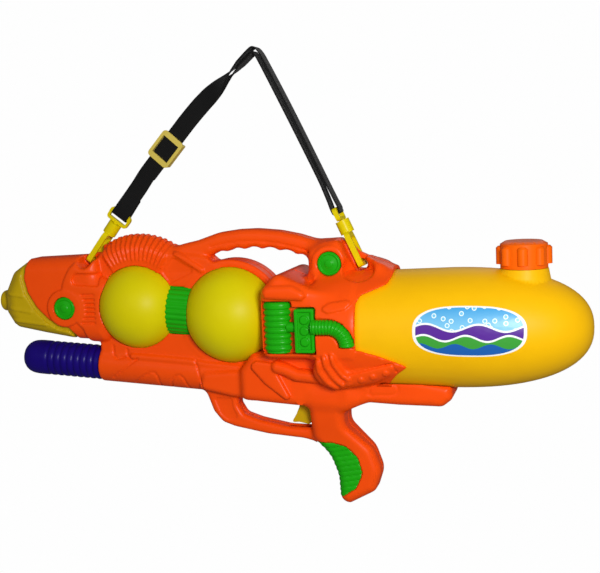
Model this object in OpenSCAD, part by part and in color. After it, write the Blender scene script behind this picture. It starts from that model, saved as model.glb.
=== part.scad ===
// Toy water squirter: a pump-action squirter with a large rear tank, hung from its carry strap.
// The muzzle points to -X, the tank to +X, and Z is up. The strap's hanging point is the origin.
// Inside the modules, X runs from the muzzle tip and Z from the tank axis; hang moves all of it into place.

/* [Tank] */
// Radius of the tank at its widest
tank_r = 62.5; // [58:0.5:64]
// Radius of the tank just behind its front shoulder
tank_front_r = 60.5; // [56:0.5:62]
// Place of the tank's front wall
tank_front_x = 412; // [408:1:416]
// Round of the tank's front shoulder
tank_shoulder = 18; // [12:1:24]
// Place where the tank's round end begins
tank_round_x = 520; // [500:1:540]
// Place of the tank's rear tip
tank_end_x = 659.5; // [640:0.5:680]
// How blunt the round end is, where 2 is an ellipse
tank_end_power = 2.35; // [2:0.05:3]
// Wall of the tank
tank_wall = 2.4; // [1.8:0.1:3]

/* [Filler neck and cap] */
// Place of the filler neck
neck_x = 591; // [575:1:597]
// Outer radius of the neck
neck_r = 19.5; // [17:0.1:20]
// Wall of the neck
neck_wall = 3; // [2:0.1:4]
// Height of the neck's rim
neck_top_z = 80; // [76:0.5:82]
// Radius of the boss under the cap
boss_r = 24.5; // [23:0.5:27]
// Height of the boss's flat top
boss_top_z = 61; // [59:0.5:63]
// Radius of the cap between its lobes
cap_r = 24; // [23.2:0.1:26]
// Radius over the cap's lobes
cap_lobe_r = 28.2; // [26:0.1:30]
// Number of lobes on the cap
cap_lobes = 8; // [6:1:10]
// Height of the cap's rim, under its domed top
cap_top_z = 86; // [84:0.5:90]

/* [Globes and collar] */
// Radius of the front globe
front_globe_r = 48; // [45:0.5:50]
// Radius of the rear globe
rear_globe_r = 54; // [51:0.5:56]
// Wall of the globes and of the collar
globe_wall = 2; // [1.4:0.1:2.6]
// Radius of the collar between the globes
collar_r = 33; // [30:0.5:35]
// Number of ribs on each side of the collar
collar_ribs = 9; // [5:1:11]

/* [Pump] */
// Slope of the pump axis, with its front end up
pump_tilt = 4.4; // [3.5:0.1:5.5]
// Radius of the pump handle over its rings
handle_r = 19.5; // [17:0.1:20.5]
// Length of the pump handle
handle_len = 97; // [85:1:110]
// Number of rings on the pump handle
handle_rings = 9; // [6:1:10]
// Outer radius of the pump barrel
barrel_r = 20.5; // [19.5:0.1:22]
// Bore radius of the pump cylinder
cylinder_bore_r = 12; // [10.5:0.1:12.5]
// Wall of the pump cylinder
cylinder_wall = 2; // [1.5:0.1:2.5]
// Length of the pump cylinder
cylinder_len = 118; // [112:1:122]
// Radius of the pump rod
rod_r = 4; // [3:0.1:5]
// Length of the piston
piston_len = 12; // [10:0.5:14]

/* [Shells] */
// Wall of the shells
shell_wall = 2.5; // [2:0.1:3]
// Half width of the nose
nose_w = 26; // [24:0.5:29]
// Half width of the web round the globes
web_w = 16; // [15:0.5:18]
// Half width of the carry handle
carry_w = 13; // [11:0.5:15]
// Half width of the engine housing
house_w = 58; // [54:0.5:60]
// Half width of the belly under the housing
belly_w = 32; // [29:0.5:34]
// Half width of the trigger guard
guard_w = 12; // [10:0.5:14]
// Half width of the grip
grip_w = 16.5; // [15:0.5:18]
// Half width of the head over the tank, which carries the rear button
head_w = 24; // [21:0.5:27]
// Half thickness of the two lugs for the strap clips
lug_w = 4; // [3:0.5:5]

/* [Trigger and valve] */
// Half width of the trigger
trigger_w = 5; // [4:0.5:6]
// Radius of the trigger pin
pin_r = 2; // [1.5:0.1:2.5]
// Radius of the valve body
valve_r = 9; // [7.5:0.5:10]

/* [Hoses] */
// Outer radius of the hoses
hose_r = 4.5; // [4:0.1:5]
// Bore radius of the hoses
hose_bore_r = 3; // [2.5:0.1:3.4]

/* [Strap] */
// Width of the webbing
strap_w = 20; // [16:0.5:22]
// Thickness of the webbing
strap_t = 1.6; // [1.2:0.1:1.8]
// Length of the clips from the hole in the lug to the eye's bar
clip_len = 63; // [60:0.5:70]

/* [Clearances] */
// Gap between parts that lie together
seat_gap = 0.3; // [0.2:0.05:0.4]
// Gap between parts that slide or turn
run_gap = 0.4; // [0.3:0.05:0.5]
// Gap round the tank in the shells
tank_gap = 0.5; // [0.4:0.1:0.8]

/* [Hidden] */
$fn = 48;
eps = 0.01;
far = 200;

// Where the strap hangs
hang = [315, 0, 300];

// Centres of the globes in the side view, and what holds their rims
front_globe = [171, 25.5];
rear_globe = [279, 16];
rim_t = 1.8;
rim_reach = 2.2;
rim_y = web_w - shell_wall - seat_gap - rim_t;

// Front of the pump barrel, on the pump axis
barrel_front = [121, -40];
barrel_len = 210;
cylinder_s = 3;
cylinder_r = cylinder_bore_r + cylinder_wall;
guide_len = 8;
piston_s = cylinder_s + cylinder_len - piston_len - 8;
pump_head_r = cylinder_r + 1;

// The shell that wraps the tank's front end
cup_r = tank_front_r + tank_gap + 1.5 + shell_wall;

// Nozzle, trigger pin and valve in the side view
nozzle_z = 32;
trigger_pin = [357, -74];
valve_z = -54;
valve_front_x = 296;
valve_rear_x = 328;
rod_end_x = 350.8;

// Holes of the strap lugs in the side view, with the slope of each clip
front_lug = [114, 78];
front_clip_angle = 52;
rear_lug = [423.5, 68];
rear_clip_angle = 114;
lug_hole_r = 6;
clip_channel_r = 8;

// Round buttons in the side view
front_button = [89, 26];
rear_button = [393, 71];
button_r = 12.5;
button_ring_r = 21;
button_stem_r = 3;

// Outlines in the side view, counter-clockwise, each corner with its radius
nose_outline = [[8, 20, 8], [18, 3, 8], [54, -4, 20], [86, -9.5, 20], [128, -12, 8], [128, 84, 8], [40, 81, 14],
    [20, 68, 12], [8, 44, 8]];
muzzle_outline = [[-5, 100, 1], [-5, -30, 1], [100, -30, 1], [98, -4, 4], [92, 3.5, 4], [80, 5.5, 8], [67, 14, 8],
    [54, 27, 10], [44, 44, 10], [40.5, 60, 8], [44, 80, 8], [44, 100, 1]];
web_outline = [[124, -34, 3], [328, -46, 3], [328, 44, 6], [240, 68, 4], [205, 82, 4], [124, 60, 4]];
carry_outline = [[206, 62, 3], [240, 68, 6], [252, 79.5, 4], [277, 83.5, 30], [306, 85.6, 60], [335, 83, 40],
    [357, 77, 14], [370, 68, 6], [370, 56, 3], [396, 56, 3], [396, 90, 6], [378, 94, 30], [357, 100.8, 40],
    [335, 105.5, 60], [309, 108, 60], [289, 107.5, 40], [267, 104.8, 30], [243, 97, 20], [226, 93.5, 12],
    [206, 88, 4]];
house_outline = [[325, -24, 9], [376, -24, 9], [376, 63, 9], [342, 63, 12], [325, 46, 12]];
head_outline = [[368, 54, 7], [446, 50, 7], [457, 60, 6.5], [451, 69.5, 6.5], [436, 76, 6.5], [421, 82, 8],
    [411, 92, 8], [398, 96.5, 9], [382, 93, 9], [368, 88, 7]];
belly_outline = [[238, -67, 9], [279, -74, 20], [326, -78, 20], [352, -80.5, 10], [364, -92, 9], [404, -94, 9],
    [420, -77, 12], [420, -26, 9], [330, -20, 9], [300, -26, 9], [246, -46, 10]];
guard_outline = [[241, -62, 3], [247, -78, 10], [252, -92, 12], [262, -104, 12], [276, -109, 16], [314, -116.5, 60],
    [354, -120.5, 40], [376, -126, 5.2], [380, -104, 5.2], [362, -108.8, 3], [337, -108, 30], [304, -101, 30],
    [287, -95, 9], [280.5, -84, 7], [284, -62, 3]];
grip_outline = [[364, -82, 10], [365, -118, 12], [383, -138, 40], [391, -160, 30], [392.5, -191, 10.5],
    [403, -190.5, 10.5], [431, -176, 11], [438.5, -154, 20], [431, -130, 25], [408, -104, 14], [403, -82, 10]];
cradle_outline = [[400, -86, 6.5], [430, -77.3, 10], [462, -80, 60], [507, -81, 8], [518, -72, 6.5],
    [516, -58, 6.5], [470, -48, 8], [400, -40, 6.5]];
upper_jaw = [[420, 38, 1], [432, 39.5, 6], [452, 49, 6], [463, 57, 5], [466, 68, 3], [460, 80, 1], [420, 80, 1]];
lower_jaw = [[420, -80, 1], [456, -80, 1], [456, -51, 3], [466, -40, 3], [477, -32, 1.5], [450, -20.5, 10],
    [430, -14.5, 4], [420, -14, 1]];
brow_outline = [[324, 40, 3], [372, 36, 4], [376, 64, 6], [342, 66, 8], [322, 50, 5]];
fin_outline = [[305, -31, 2], [301.5, -41, 2], [338, -72.5, 3], [343, -74, 1.5], [345, -70, 1.5], [331, -34.5, 3]];
claw_outline = [[400, -60, 3], [415, -59, 8], [431, -55, 8], [447, -48.5, 8], [466, -40, 2], [477, -32, 1.5],
    [450, -24, 6], [424, -32, 6], [402, -42, 4]];
pocket_outline = [[326.5, -19, 2], [381, -19, 2], [381, 36, 2], [326.5, 36, 2]];
plate_outline = [[361, -17, 3], [380.6, -17, 2], [380.6, 30, 2], [361, 30, 3]];
insert_outline = [[375, -182.5, 1], [396, -182.5, 5], [411, -173, 10], [419, -156, 14], [414, -138, 14],
    [402, -126, 12], [386, -121.5, 8], [368, -122.5, 1]];
trigger_outline = [[339.5, -104, 1.5], [348, -103.5, 4], [360, -106, 2.5], [364, -96, 4], [364, -70, 5],
    [358.5, -50, 2], [352, -50, 2], [350, -70, 8], [349, -86, 8], [345, -95, 8]];

// Arch over the front globe, finger grooves under the carry handle, and the line along the handle's side
arch_from = 56;
arch_to = 123;
arch_in_r = 44;
arch_out_r = 78.5;
arch_w = 19;
arch_ribs = 15;
arch_rib_h = 1.6;
scallop_r = 15.8;
scallop_depth = 3.3;
scallop_step = 6.5;
carry_under_r = 169;
carry_under = [306.3, 85.6 - carry_under_r];
carry_line = [303, -85];
carry_line_r = 181;

// Band round the rear globe, half width of the cradle, pocket of the engine trim, skin under the grip insert
band_r = 60;
cradle_w = 30;
pocket_depth = 8;
insert_t = 2;
rivets = [[413, -52], [426, -47.5], [439.5, -44], [453, -41]];

// Ribbed elbow of the engine trim
elbow_centre = [388, -17];
elbow_bend_r = 25.5;
elbow_r = 6.6;
elbow_rib_r = 7.6;
elbow_y = 62;
elbow_floor = 60.2;

// Screws of the shells in the side view, each with the reach of its bosses
screws = [[64, 70, nose_w - 1.5], [112, -1, nose_w - 2], [150, 90, arch_w - 3.5], [306, 97, carry_w - 1],
    [378, 84, head_w - 1.5], [389, -106, grip_w - 1], [424, -160, grip_w - 1], [490, -72, cradle_w - 1],
    [262, -96, guard_w - 1]];

// Boss, hole, shank and head of a shell screw
screw_boss_r = 6;
screw_hole_r = 1.8;
screw_shank_r = 1.5;
screw_head_r = 3.2;
screw_head_y = 7;

// Collar axis between the globes
collar_tilt = atan2(front_globe[1] - rear_globe[1], rear_globe[0] - front_globe[0]);
globe_gap = norm(rear_globe - front_globe) - front_globe_r - rear_globe_r;
collar_at = front_globe + (rear_globe - front_globe) * (front_globe_r + globe_gap / 2) / norm(rear_globe - front_globe);

// Nipples that the hoses fit over
nipple_r = hose_bore_r - seat_gap;
nipple_bore_r = 1.6;
outlet_z = -34;
pump_nipple_y = 6;
valve_outlet_x = 308;

// Routes of the hoses
delivery_route = [[257, 6, -50.4], [265.5, 6, -51.1], [274, 3.5, -52.6], [285, 0, -54], [295, 0, -54]];
intake_route = [[257, -6, -50.4], [265.5, -6, -51.1], [276, -11, -53], [288, -15.5, -54], [330, -15.5, -54],
    [352, -14, -52], [372, -8, -45], [388, -1.5, -36], [401, 0, -34], [411, 0, -34]];
nozzle_route = [[308, 0, -44], [308, 0, -35], [307, 0, -24], [303, 0, -10], [290, 0, 3], [270, 0, 9], [200, 0, 18],
    [60, 0, 31.4], [40, 0, 32], [27, 0, 32]];

// Route of the webbing: place, slope in the side view, and twist of its width towards the side
strap_route = [[167.6, 2, 146.5, 52, 0], [160, 2.9, 136.8, 52, 0], [154.6, 3.7, 129.9, 52, 0],
    [151.2, 3.7, 125.7, 52, 0], [150.6, 3.3, 124.9, 52, 0], [150.4, 2.4, 124.6, 52, 0], [150.4, -2.4, 124.6, 52, 0],
    [150.6, -3.3, 124.9, 52, 0], [151.2, -3.7, 125.7, 52, 0], [154.6, -3.7, 129.9, 52, 0], [160, -2.9, 136.8, 52, 0],
    [167.6, -1.2, 146.5, 52, 0],
    [176, 0, 157.3, 51, 0], [185.9, 0, 170.2, 48, 0], [210, 0, 197, 48, 0], [234.1, 0, 223.8, 47, 0],
    [250, 0, 240, 44, 0], [262, 0, 251.3, 43, 10], [272, 0, 260.6, 43, 35], [281, 0, 269, 43, 60],
    [290, 0, 277.4, 43, 80], [298, 0, 285, 43, 90], [305, 0, 291.6, 43, 90], [311, 0, 296.8, 43, 90],
    [315, 0, 299.2, 20, 90], [319, 0, 297.6, -30, 90], [323, 0, 292.5, -60, 90], [328, 0, 283, -63, 90],
    [347, 0, 244.5, -64, 90], [367, 0, 202, -65, 90], [387, 0, 158.5, -65, 90], [397, 0, 137, -66, 90],
    [401.4, 0, 128, -70, 90], [401.7, 0, 126, -80, 90]];
// The second layer runs under the rear bar and back along the first, this far inside it from each place
return_start = [[401.8, 0, 125.7, -85, 90], [402.2, 0, 124.8, -95, 90], [402.3, 0, 123.7, -100, 90],
    [401.6, 0, 123, -150, 90], [397.2, 0, 121, -160, 90], [396.2, 0, 121, 170, 90], [395.4, 0, 121.8, 120, 90],
    [393.1, 0, 126.8, 114, 90]];
return_from = 31;
return_to = 13;
return_gaps = [7, 5.5, 5.5, 5.5, 5, 5, 5, 5, 5, 5, 4.5, 4, 3.5, 3, 2.6, 2.4, 2.4, 2.4, 2.4];

// The slider's middle on the webbing
slider_at = [210, 0, 197];
slider_slope = 48;

// Nozzle in the muzzle, and its orifice
nozzle_r = 11.8;
nozzle_flange_r = 14;
nozzle_flange_x = 13;
orifice_r = 1.5;
flutes = [[[12, 46], [40, 66]], [[11, 40], [42, 53]], [[11, 32], [46, 39]], [[12, 24], [58, 24]], [[16, 14], [78, 6]]];

// Valve bore, its stem and spring
valve_bore_r = 4;
valve_stem_r = 2;
spring_r = 3.4;
spring_wire_r = 0.6;
spring_turns = 6;

// Swivel stem of the clips
eye_stem_r = 3;
eye_knob_r = 4.6;

// Unit vector along v
function unit(v) = v / norm(v);

// Turn at corner b, positive where a counter-clockwise outline is convex
function turn(a, b, c) = (b[0] - a[0]) * (c[1] - b[1]) - (b[1] - a[1]) * (c[0] - b[0]);

// Points of the arc that rounds corner b by radius r, in steps of about fine degrees; a slight turn gets one point
function corner(a, b, c, r, fine) =
    let (at = [b[0], b[1]], u = unit([a[0], a[1]] - at), v = unit([c[0], c[1]] - at),
         half = acos(max(-1, min(1, u * v))) / 2, middle = at + unit(u + v) * r / sin(half),
         p = at + u * r / tan(half) - middle, q = at + v * r / tan(half) - middle,
         from = atan2(p[1], p[0]), d = atan2(q[1], q[0]) - from,
         sweep = d > 180 ? d - 360 : d < -180 ? d + 360 : d, n = ceil(abs(sweep) / fine - 0.4))
    [for (t = n > 0 ? [0:1 / n:1.001] : [0.5]) middle + r * [cos(from + sweep * t), sin(from + sweep * t)]];

// Outline with rounded corners from a list of [x, z, radius]
function rounded(c, fine = 32) = let (k = len(c))
    [for (i = [0:k - 1]) each corner(c[(i + k - 1) % k], c[i], c[(i + 1) % k], c[i][2], fine)];

// The same corners moved inwards by d, with radii to suit
function inset(c, d) = let (k = len(c))
    [for (i = [0:k - 1])
        let (a = c[(i + k - 1) % k], b = c[i], e = c[(i + 1) % k],
             u = unit([b[0] - a[0], b[1] - a[1]]), v = unit([e[0] - b[0], e[1] - b[1]]),
             m = [-u[1] - v[1], u[0] + v[0]] * d / (1 + u * v),
             r = turn(a, b, e) > 0 ? max(b[2] - d, 0.2) : max(b[2] + d, 0.2))
        [b[0] + m[0], b[1] + m[1], r]];

// Left half of a plate with cushioned edges: outline c, half width w, edge round e
module half_pillow(c, w, e, n = 2, fine = 36, inner = 0) {
    rings = concat([[inner, 0]], n == 0 ? [[-w, 0]] :
        [for (i = [0:n]) [-(w - e + e * sin(90 * i / n)), e * (1 - cos(90 * i / n))]]);
    layers = [for (g = rings) [for (p = rounded(inset(c, g[1]), fine)) [p[0], g[0], p[1]]]];
    k = len(layers[0]);
    m = len(layers);
    polyhedron(
        points = [for (l = layers) each l],
        faces = concat(
            [[for (i = [0:k - 1]) i]],
            [[for (i = [k - 1:-1:0]) (m - 1) * k + i]],
            [for (j = [0:m - 2]) for (i = [0:k - 1])
                [j * k + i, (j + 1) * k + i, (j + 1) * k + (i + 1) % k]],
            [for (j = [0:m - 2]) for (i = [0:k - 1])
                [j * k + i, (j + 1) * k + (i + 1) % k, j * k + (i + 1) % k]]));
}

// A side-view shape drawn out to the left, from y0 to y1
module side(y0 = 0, y1 = far) {
    translate([0, -y0, 0]) rotate([90, 0, 0]) linear_extrude(y1 - y0) children();
}

// The children laid along the pump axis, s behind the barrel's front
module along_pump(s = 0) {
    translate([barrel_front[0], 0, barrel_front[1]]) rotate([0, 90 + pump_tilt, 0]) translate([0, 0, s]) children();
}

// The children with their Z axis to the left, at a place in the side view
module leftwards(p, y = 0) {
    translate([p[0], -y, p[1]]) rotate([90, 0, 0]) children();
}

// The children with their Z axis to the rear, at height z
module rearwards(x, z) {
    translate([x, 0, z]) rotate([0, 90, 0]) children();
}

// Everything on the left of the split plane, moved across it by d
module left_half(d = 0) {
    translate([-far, d - far, -2 * far]) cube([5 * far, far, 4 * far]);
}

// A stroke of width 2r through side-view points
module stroke(points, r) {
    for (i = [0:len(points) - 2]) hull() {
        translate(points[i]) circle(r, $fn = 8);
        translate(points[i + 1]) circle(r, $fn = 8);
    }
}

// Points of the valve spring's wire
function spring_points() = [for (i = [0:9 * spring_turns]) let (a = 40 * i)
    [valve_rear_x + spring_wire_r + 0.3 + (rod_end_x - 4 - valve_rear_x - 2 * spring_wire_r - 0.6) * i / (9 * spring_turns),
     spring_r * cos(a), valve_z + spring_r * sin(a)]];

// Width and face directions of the webbing at a place on its route
function width_way(p) = cos(p[4]) * [-sin(p[3]), 0, cos(p[3])] + sin(p[4]) * [0, 1, 0];
function along_way(r, i) = let (a = r[max(i - 1, 0)], b = r[min(i + 1, len(r) - 1)])
    unit([b[0] - a[0], b[1] - a[1], b[2] - a[2]]);
function face_way(r, i) = unit(cross(along_way(r, i), width_way(r[i])));

// A tube swept along points, with a bore where bore_r is above 0
module swept_tube(points, r, bore_r, sides = 8, across = [0.13, 1, 0.07]) {
    n = len(points);
    rings = [for (q = bore_r > 0 ? [r, around(bore_r, sides)] : [r]) for (i = [0:n - 1])
        let (t = unit(points[min(i + 1, n - 1)] - points[max(i - 1, 0)]), a = unit(cross(across, t)),
             b = cross(t, a))
        [for (j = [0:sides - 1]) points[i] + q * (cos(360 * j / sides) * a + sin(360 * j / sides) * b)]];
    k = sides;
    walls = [for (w = [0:bore_r > 0 ? 1 : 0]) for (i = [0:n - 2]) for (j = [0:k - 1])
        let (a = (w * n + i) * k + j, b = (w * n + i) * k + (j + 1) % k)
        each w == 0 ? [[a, a + k, b], [b, a + k, b + k]] : [[a, b, a + k], [b, b + k, a + k]]];
    ends = bore_r > 0
        ? [for (j = [0:k - 1]) let (a = j, b = (j + 1) % k, c = n * k, z = (n - 1) * k)
            each [[a, b, c + a], [b, c + b, c + a], [z + a, z + c + a, z + b], [z + b, z + c + a, z + c + b]]]
        : [[for (j = [0:k - 1]) j], [for (j = [k - 1:-1:0]) (n - 1) * k + j]];
    polyhedron([for (g = rings) each g], concat(walls, ends));
}

// Outer form of the tank, grown by g
function tank_profile(g, n) = concat(
    [[0, tank_front_x - g]],
    [for (i = [0:4]) let (a = 90 * i / 4)
        [tank_front_r + g - tank_shoulder * (1 - sin(a)), tank_front_x - g + tank_shoulder * (1 - cos(a))]],
    [for (i = [0:n]) let (t = sin(90 * i / n))
        [i == n ? 0 : (tank_r + g) * pow(1 - pow(t, tank_end_power), 1 / tank_end_power),
         tank_round_x + (tank_end_x + g - tank_round_x) * t]]);

module tank_form(g, n = 24, sides = $fn) {
    rotate([0, 90, 0]) rotate_extrude($fn = sides) polygon(tank_profile(g, n));
}

// Ribbed arch over the front globe: a sector turned about the globe's centre, moved inwards by d
module arch_sector(from, to, d, in_r = arch_in_r, in = 0, fine = 60) {
    profile = [[in_r, -in, 0.2], [arch_out_r - d, -in, 0.2], [arch_out_r - d, carry_w - 7, 5],
        [arch_out_r - 12 - d, arch_w - d, 9], [in_r, arch_w - 2 - d, 0.2]];
    leftwards(front_globe) rotate([0, 0, from]) rotate_extrude(angle = to - from, $fn = 48)
        polygon(rounded(profile, fine));
}

// A cushioned plate moved inwards by d, or the plain hollow that stays inside its round edge e
module plate(c, w, e, d, hollow) {
    g = d + 0.3 * (e - d);
    if (hollow) half_pillow(inset(c, g), w - g, 0, 0, 95, 1);
    else half_pillow(inset(c, d), w - d, e - d);
}

// One main form of the left shell, moved inwards by d; a hollow is plainer and crosses the split plane
module form(name, d, hollow = false) {
    in = hollow ? 1 : 0;
    if (name == "nose") half_pillow(inset(nose_outline, d), nose_w - d, 16 - d, hollow ? 1 : 3, hollow ? 95 : 36, in);
    if (name == "web") plate(web_outline, web_w, max(3, d + 0.2), d, hollow);
    if (name == "band") leftwards(rear_globe, -in) cylinder(r = band_r - d, h = web_w - d + in, $fn = 40);
    if (name == "carry") difference() {
        plate(carry_outline, carry_w, 7, hollow ? d + scallop_depth : d, hollow);
        if (!hollow) for (i = [-2:3]) let (a = 90 - i * scallop_step)
            leftwards(carry_under + (carry_under_r + scallop_depth - scallop_r) * [cos(a), sin(a)], -2)
                cylinder(r = scallop_r + d, h = far, $fn = 28);
    }
    if (name == "head") plate(head_outline, head_w, 6, d, hollow);
    if (name == "belly") plate(belly_outline, belly_w, 8.5, d, hollow);
    if (name == "guard") plate(guard_outline, guard_w, 5, d, hollow);
    if (name == "grip") plate(grip_outline, grip_w, 9.5, hollow ? d + insert_t : d, hollow);
    if (name == "cradle") plate(cradle_outline, cradle_w, 6, d, hollow);
    if (name == "barrel") intersection() {
        along_pump(d) cylinder(r = barrel_r - d, h = barrel_len - 2 * d, $fn = 28);
        left_half(in);
    }
    if (name == "arch") arch_sector(arch_from + d, arch_to - d, d, hollow ? front_globe_r + shell_wall : arch_in_r, in, hollow ? 300 : 60);
    if (name == "house") difference() {
        hull() {
            half_pillow(inset(house_outline, d), house_w - d, 8 - d, hollow ? 1 : 2, hollow ? 95 : 36, in);
            intersection() {
                rearwards(408, 0) cylinder(r = cup_r - d, h = 20, $fn = 40);
                left_half(in);
            }
        }
        if (hollow) {
            side(house_w - pocket_depth - d) polygon(rounded(inset(pocket_outline, -d), 95));
            side(elbow_floor - d) polygon(elbow_shape(d + 1));
        }
    }
    if (name == "cup") intersection() {
        rearwards(420, 0) cylinder(r = cup_r - d, h = 60, $fn = 40);
        union() {
            side() polygon(rounded(upper_jaw));
            side() polygon(rounded(lower_jaw));
        }
    }
}

FORMS = ["nose", "web", "band", "carry", "head", "belly", "guard", "grip", "cradle", "barrel", "arch", "house"];

// A side-view shape that stands h proud of a form
module raised(name, h) {
    intersection() {
        form(name, -h);
        side() children();
    }
}

// The cut that sinks a side-view shape into a form
module sunk(name, depth) {
    difference() {
        side() children();
        form(name, depth);
    }
}

// Radius of a polygon drawn round a circle of radius r
function around(r, sides) = r / cos(180 / sides);

// Rim of a globe behind the web
function rim_r(r) = sqrt(r * r - rim_y * rim_y) + rim_reach;

// Side view of the elbow, grown by g
function elbow_shape(g) = concat(
    [for (a = [6:15:111]) elbow_centre + (elbow_bend_r + elbow_rib_r + g) * [cos(a), sin(a)]],
    [for (a = [111:-15:6]) elbow_centre + (elbow_bend_r - elbow_rib_r - g) * [cos(a), sin(a)]]);

// The children with their Z axis along the collar's
module collar_frame() {
    translate([collar_at[0], 0, collar_at[1]]) rotate([0, 90 + collar_tilt, 0]) children();
}

// Raised work on the left shell
module reliefs() {
    raised("nose", 1.6) translate(front_button) circle(button_ring_r, $fn = 20);
    raised("head", 2) translate(rear_button) circle(button_ring_r - 2, $fn = 24);
    raised("house", 2.4) polygon(rounded(brow_outline));
    raised("belly", 3) polygon(rounded(fin_outline, 45));
    raised("belly", 6) stroke([[334, -36], [350, -39], [364, -46], [374, -56]], 7);
    raised("house", 2) for (i = [0:4]) stroke([[379 + 7 * i, -26 + i], [383 + 7 * i, -57 + i]], 2);
    raised("cup", 1.8) polygon(rounded(claw_outline));
    for (p = rivets) leftwards(p, sqrt(pow(cup_r + 1.8, 2) - p[1] * p[1]) - 3) cylinder(r1 = 4, r2 = 2, h = 5, $fn = 8);
    raised("barrel", 1.2) for (x = [128, 144, 160]) stroke([[x, -26], [x + 3, -37]], 2.4);
    raised("barrel", 1.2) polygon(rounded([[130, -52, 2], [182, -58, 2], [178, -64, 2], [134, -58, 2]], 45));
    pitch = (arch_to - arch_from) / arch_ribs;
    for (i = [0:arch_ribs - 1])
        arch_sector(arch_from + (i + 0.25) * pitch, arch_from + (i + 0.75) * pitch, -arch_rib_h, arch_in_r + 8, 0, 300);
}

// Sunk work and pockets on the left shell
module recesses() {
    for (i = [0:6]) sunk("nose", 1.4) translate([106, 8.5 + i * 5.2]) square([20, 2]);
    sunk("nose", 1.4) polygon(rounded([[98, 52, 3], [124, 54, 3], [120, 62, 3], [102, 61, 3]], 45));
    for (b = [[front_button, nose_w], [rear_button, head_w]]) {
        leftwards(b[0], b[1] - 2) cylinder(r = around(button_r + seat_gap, 24), h = far);
        leftwards(b[0], b[1] - 7) cylinder(r = around(button_stem_r + seat_gap, 8), h = far, $fn = 8);
    }
    sunk("carry", 0.9) difference() {
        translate(carry_line) circle(carry_line_r, $fn = 96);
        translate(carry_line) circle(carry_line_r - 1.6, $fn = 96);
        translate([0, -far]) square([258, 4 * far]);
        translate([370, -far]) square([far, 4 * far]);
        translate([0, -far]) square([far * 3, far]);
    }
    sunk("cradle", 1.2) stroke([[438, -66], [480, -69]], 3);
    sunk("guard", 1.2) polygon(rounded([[252, -78, 2], [260, -98, 3], [272, -98, 3], [274, -78, 2]], 45));
    side(house_w - pocket_depth) polygon(rounded(pocket_outline, 45));
    side(elbow_floor) polygon(elbow_shape(seat_gap + 0.4));
    sunk("grip", insert_t) polygon(rounded(insert_outline, 45));
    side(-1) polygon(rounded(muzzle_outline));
}

// What passes the shells: globes, collar, tank, strap clips, trigger, and the room for their rims
module clearances() {
    for (g = [[front_globe, front_globe_r], [rear_globe, rear_globe_r]]) {
        leftwards(g[0]) sphere(r = around(around(g[1] + seat_gap, 28), 28), $fn = 28);
        leftwards(g[0], -1) cylinder(r = around(rim_r(g[1]) + run_gap, 32), h = web_w - shell_wall + 1, $fn = 32);
    }
    collar_frame() cylinder(r = around(collar_r + seat_gap, 24), h = 50, center = true);
    tank_form(around(tank_r + tank_gap, 32) - tank_r, 4, 32);
    for (c = [[front_lug, front_clip_angle], [rear_lug, rear_clip_angle]]) {
        side(lug_w) stroke([c[0], c[0] + 44 * [cos(c[1]), sin(c[1])]], clip_channel_r);
        leftwards(c[0], -1) cylinder(r = lug_hole_r, h = far, $fn = 16);
    }
    translate([336, -trigger_w - run_gap, -112]) cube([41, far, 62]);
    along_pump(-1) cylinder(r = rod_r + 5, h = 6);
    leftwards(trigger_pin, -1) cylinder(r = around(pin_r + seat_gap, 12), h = 16, $fn = 12);
}

// Bosses, saddles and ribs inside the left shell
module inner_work() {
    for (p = screws) leftwards(p) cylinder(r = screw_boss_r, h = p[2], $fn = 6);
    leftwards(trigger_pin, trigger_w + 1) cylinder(r = pin_r + 3, h = belly_w - trigger_w - 2, $fn = 12);
    for (x = [299, 318]) translate([x, -valve_r - 0.8, -76]) cube([3, valve_r + 0.8, valve_z + 76]);
    intersection() {
        for (s = [8, 112]) along_pump(s) cylinder(r = barrel_r - 1, h = 3);
        left_half();
    }
}

module left_body(right = false) {
    $fn = 24;
    difference() {
        union() {
            difference() {
                union() {
                    for (name = FORMS) form(name, 0);
                    form("cup", 0);
                    reliefs();
                }
                for (name = FORMS) form(name, shell_wall, true);
            }
            inner_work();
            lug_plates();
        }
        recesses();
        clearances();
        along_pump(1) cylinder(r = around(cylinder_r + seat_gap, 24), h = cylinder_len + 8);
        rearwards(valve_front_x - 4, valve_z) cylinder(r = around(valve_r + seat_gap, 24), h = 60);
        for (p = screws) leftwards(p, -1) cylinder(r = screw_hole_r, h = right ? far : 10, $fn = 6);
        if (right) for (p = screws) leftwards(p, screw_head_y) cylinder(r = around(screw_head_r + seat_gap, 8), h = far, $fn = 8);
    }
}

// Solid plates round the two lug holes
module lug_plates() {
    intersection() {
        side(0, lug_w) for (p = [front_lug, rear_lug]) translate(p) circle(13, $fn = 24);
        for (name = ["nose", "head", "web"]) form(name, 0);
    }
}

module left_shell() {
    color("orangered") left_body();
}

module right_shell() {
    color("orangered") mirror([0, 1, 0]) left_body(true);
}

// The children and their mirror image on the other side
module both() {
    children();
    mirror([0, 1, 0]) children();
}

module shell_screws() {
    color("silver") for (p = screws) leftwards(p) {
        translate([0, 0, -screw_head_y - 1]) cylinder(r = screw_shank_r, h = screw_head_y + 9, $fn = 16);
        translate([0, 0, -screw_head_y - 2.8]) cylinder(r = screw_head_r, h = 2.5, $fn = 24);
    }
}

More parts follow.
